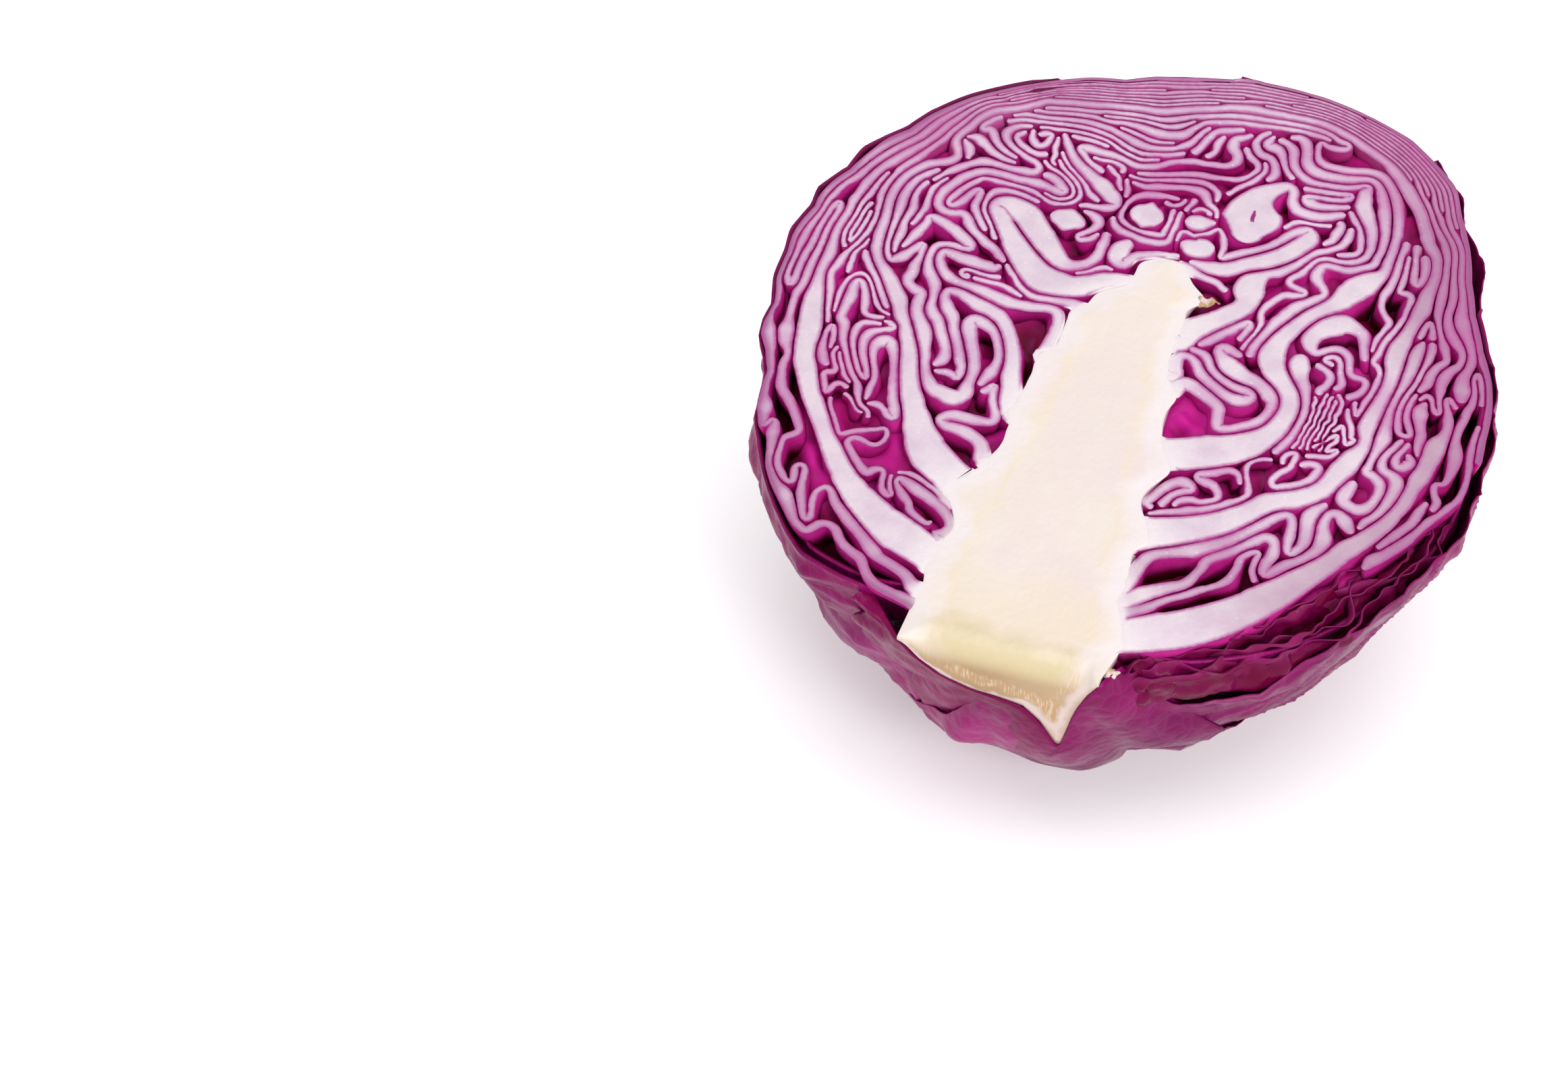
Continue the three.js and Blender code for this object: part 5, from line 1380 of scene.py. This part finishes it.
def hollow_finish():
    """Leaf backs down in the hollows: magenta, with painted shade darkening them where they lie deep, and
    paler fold lines.
    """
    f = Finish("hollow_leaf", Roughness=.5, IOR=1.4, Specular_IOR_Level=.1)
    fold, depth = f.value("fold"), f.value("depth")
    colour = f.mix(f.step(f.noise(60., 2.), .35, .65), (196, 30, 142), (158, 14, 100))
    # painted shade: darker the deeper the leaf backs lie, from 2.6 mm down
    colour = f.mix(f.step(depth, 2.6, 6.), colour, (120, 9, 58))
    colour = f.mix(f.step(depth, 5., 9.), colour, (78, 4, 24))
    colour = f.mix(f.times(fold, .15), colour, (216, 110, 190))
    return f.finish(colour, None, f.noise(300., 3.), .0003, .6)


def outer_leaf_finish():
    """Satin magenta-purple skin with darker violet fields and a faint net of veins. Ribs and stalk are a
    little lighter away from the stem, margins are lighter with a painted highlight, and folds carry a
    painted shade; the inner side is its own tone."""
    f = Finish("outer_leaf", IOR=1.45, Specular_IOR_Level=.11)
    rib, base, margin = (f.value(name) for name in ("rib", "base", "margin"))
    stalk, face, fold = (f.value(name) for name in ("stalk", "face", "fold"))
    patch = f.noise(28., 4., .6)
    skin = f.mix(f.step(patch, .3, .7), (150, 4, 98), (116, 2, 74))
    skin = f.mix(f.step(f.noise(11., 3.), .45, .7, 0., .5), skin, (84, 2, 64))
    skin = f.mix(f.step(f.noise(60., 5., .65), .5, .75, 0., .06), skin, (160, 90, 158))
    net = f.step(f.cells(260., 'DISTANCE_TO_EDGE'), .10, .02, 0., .12)
    skin = f.mix(net, skin, (172, 50, 134))
    skin = f.mix(f.times(rib, f.step(base, .9, .4, 0., .35)), skin, (170, 44, 130))
    skin = f.mix(f.times(stalk, f.step(base, .9, .4, .06, .25)), skin, (184, 74, 142))
    skin = f.mix(f.step(base, .8, 1., 0., .06), skin, (214, 160, 186))
    # painted shade: the fold value darkens the skin to dark maroon
    skin = f.mix(fold, skin, (98, 2, 44))
    # painted highlight: the skin is lighter within 1.6 mm of a margin
    skin = f.mix(f.step(margin, 1.6, .2, 0., .35), skin, (150, 46, 110))
    inside = f.mix(f.step(patch, .3, .7), (104, 8, 66), (72, 4, 42))
    colour = f.mix(f.step(face, .2, .8), inside, skin)
    rough = f.step(f.noise(150., 3.), .3, .7, .24, .4)
    grain = f.plus(f.noise(420., 3.), f.times(f.cells(260., 'DISTANCE_TO_EDGE'), 2.))
    return f.finish(colour, rough, grain, .0003, .5)




# ---------------------------------------------------------------- the pieces

# (name, mm inside the edge from and to, the CAD's leaves that they stand in for)
GROUPS = [("heart_folds", 58, 999, ("heart_leaves", "leaf_19")),
          ("inner_cut_leaves", 38, 58, tuple(f"leaf_{k:02d}" for k in range(15, 19))),
          ("middle_cut_leaves", 22, 38, tuple(f"leaf_{k:02d}" for k in range(11, 15))),
          ("outer_cut_leaves", 10, 22, tuple(f"leaf_{k:02d}" for k in range(6, 11))),
          ("rim_cut_leaves", -99, 10, tuple(f"leaf_{k:02d}" for k in range(2, 6)))]

leaf_material = cut_leaf_finish()
for name, low, high, nodes in GROUPS:
    group = gather([ribbon for ribbon, inside in zip(ribbons, mean_inside) if low <= inside < high])
    build(name, group, leaf_material, "leaf_flesh", *nodes)

core_material = core_finish()
build("core_and_stem", core_solid(), core_material, "core_flesh", "core")
build("dried_leaf_scrap", dried_scrap(16.3, -66.4, 1.8, 1.4, 0, -.7, 2.6, .6), core_material, "core_flesh")
build("broken_leaf_stub", dried_scrap(7.4, 30.5, 2.5, 1.5, .3, .1, .5, 3.1), core_material, "core_flesh")

build("leaf_backs_in_hollows", hollow_backs(), hollow_finish(), "leaf_skin")

outer_material = outer_leaf_finish()
for name, rows, columns, spec in OUTER_LEAVES:
    nodes = ["leaf_01"] if name == "inner_wrapper_leaf" else []
    build(name, outer_leaf(rows, columns, spec), outer_material, "leaf_skin", *nodes)
build("leaf_base_collar", leaf_base_collar(), outer_material, "leaf_skin")
build("crumpled_leaf_edges", crumpled_edges(), outer_material, "leaf_skin")

# ---------------------------------------------------------------- floor and light

floor_mesh = bpy.data.meshes.new("floor")
floor_mesh.from_pydata([(-3, -3, 0), (3, -3, 0), (3, 3, 0), (-3, 3, 0)], [], [(0, 1, 2, 3)])
floor = bpy.data.objects.new("floor", floor_mesh)
scene.collection.objects.link(floor)
floor_mesh.materials.append(Finish("floor", Base_Color=(.8, .8, .81, 1), Roughness=.8,
                                   Emission_Color=(1, 1, 1, 1), Emission_Strength=.28).material)

world = bpy.data.worlds.new("studio")
world.use_nodes = True
world.node_tree.nodes["Background"].inputs["Color"].default_value = (1, 1, 1, 1)
world.node_tree.nodes["Background"].inputs["Strength"].default_value = .76
scene.world = world


def lamp(name, kind, place, aim=(0, 0, .04), **settings):
    """A light at place, turned to face aim."""
    data = bpy.data.lights.new(name, kind)
    for key, value in settings.items():
        setattr(data, key, value)
    light = bpy.data.objects.new(name, data)
    light.location = place
    light.rotation_euler = (Vector(aim) - Vector(place)).to_track_quat('-Z', 'Y').to_euler()
    scene.collection.objects.link(light)


lamp("overhead_light", 'SUN', (.2, -.25, 1.4), energy=1.3, angle=math.radians(40))
lamp("front_panel", 'AREA', (.8, -.8, .7), size=.4, energy=7.)
scene.view_settings.view_transform = 'Standard'
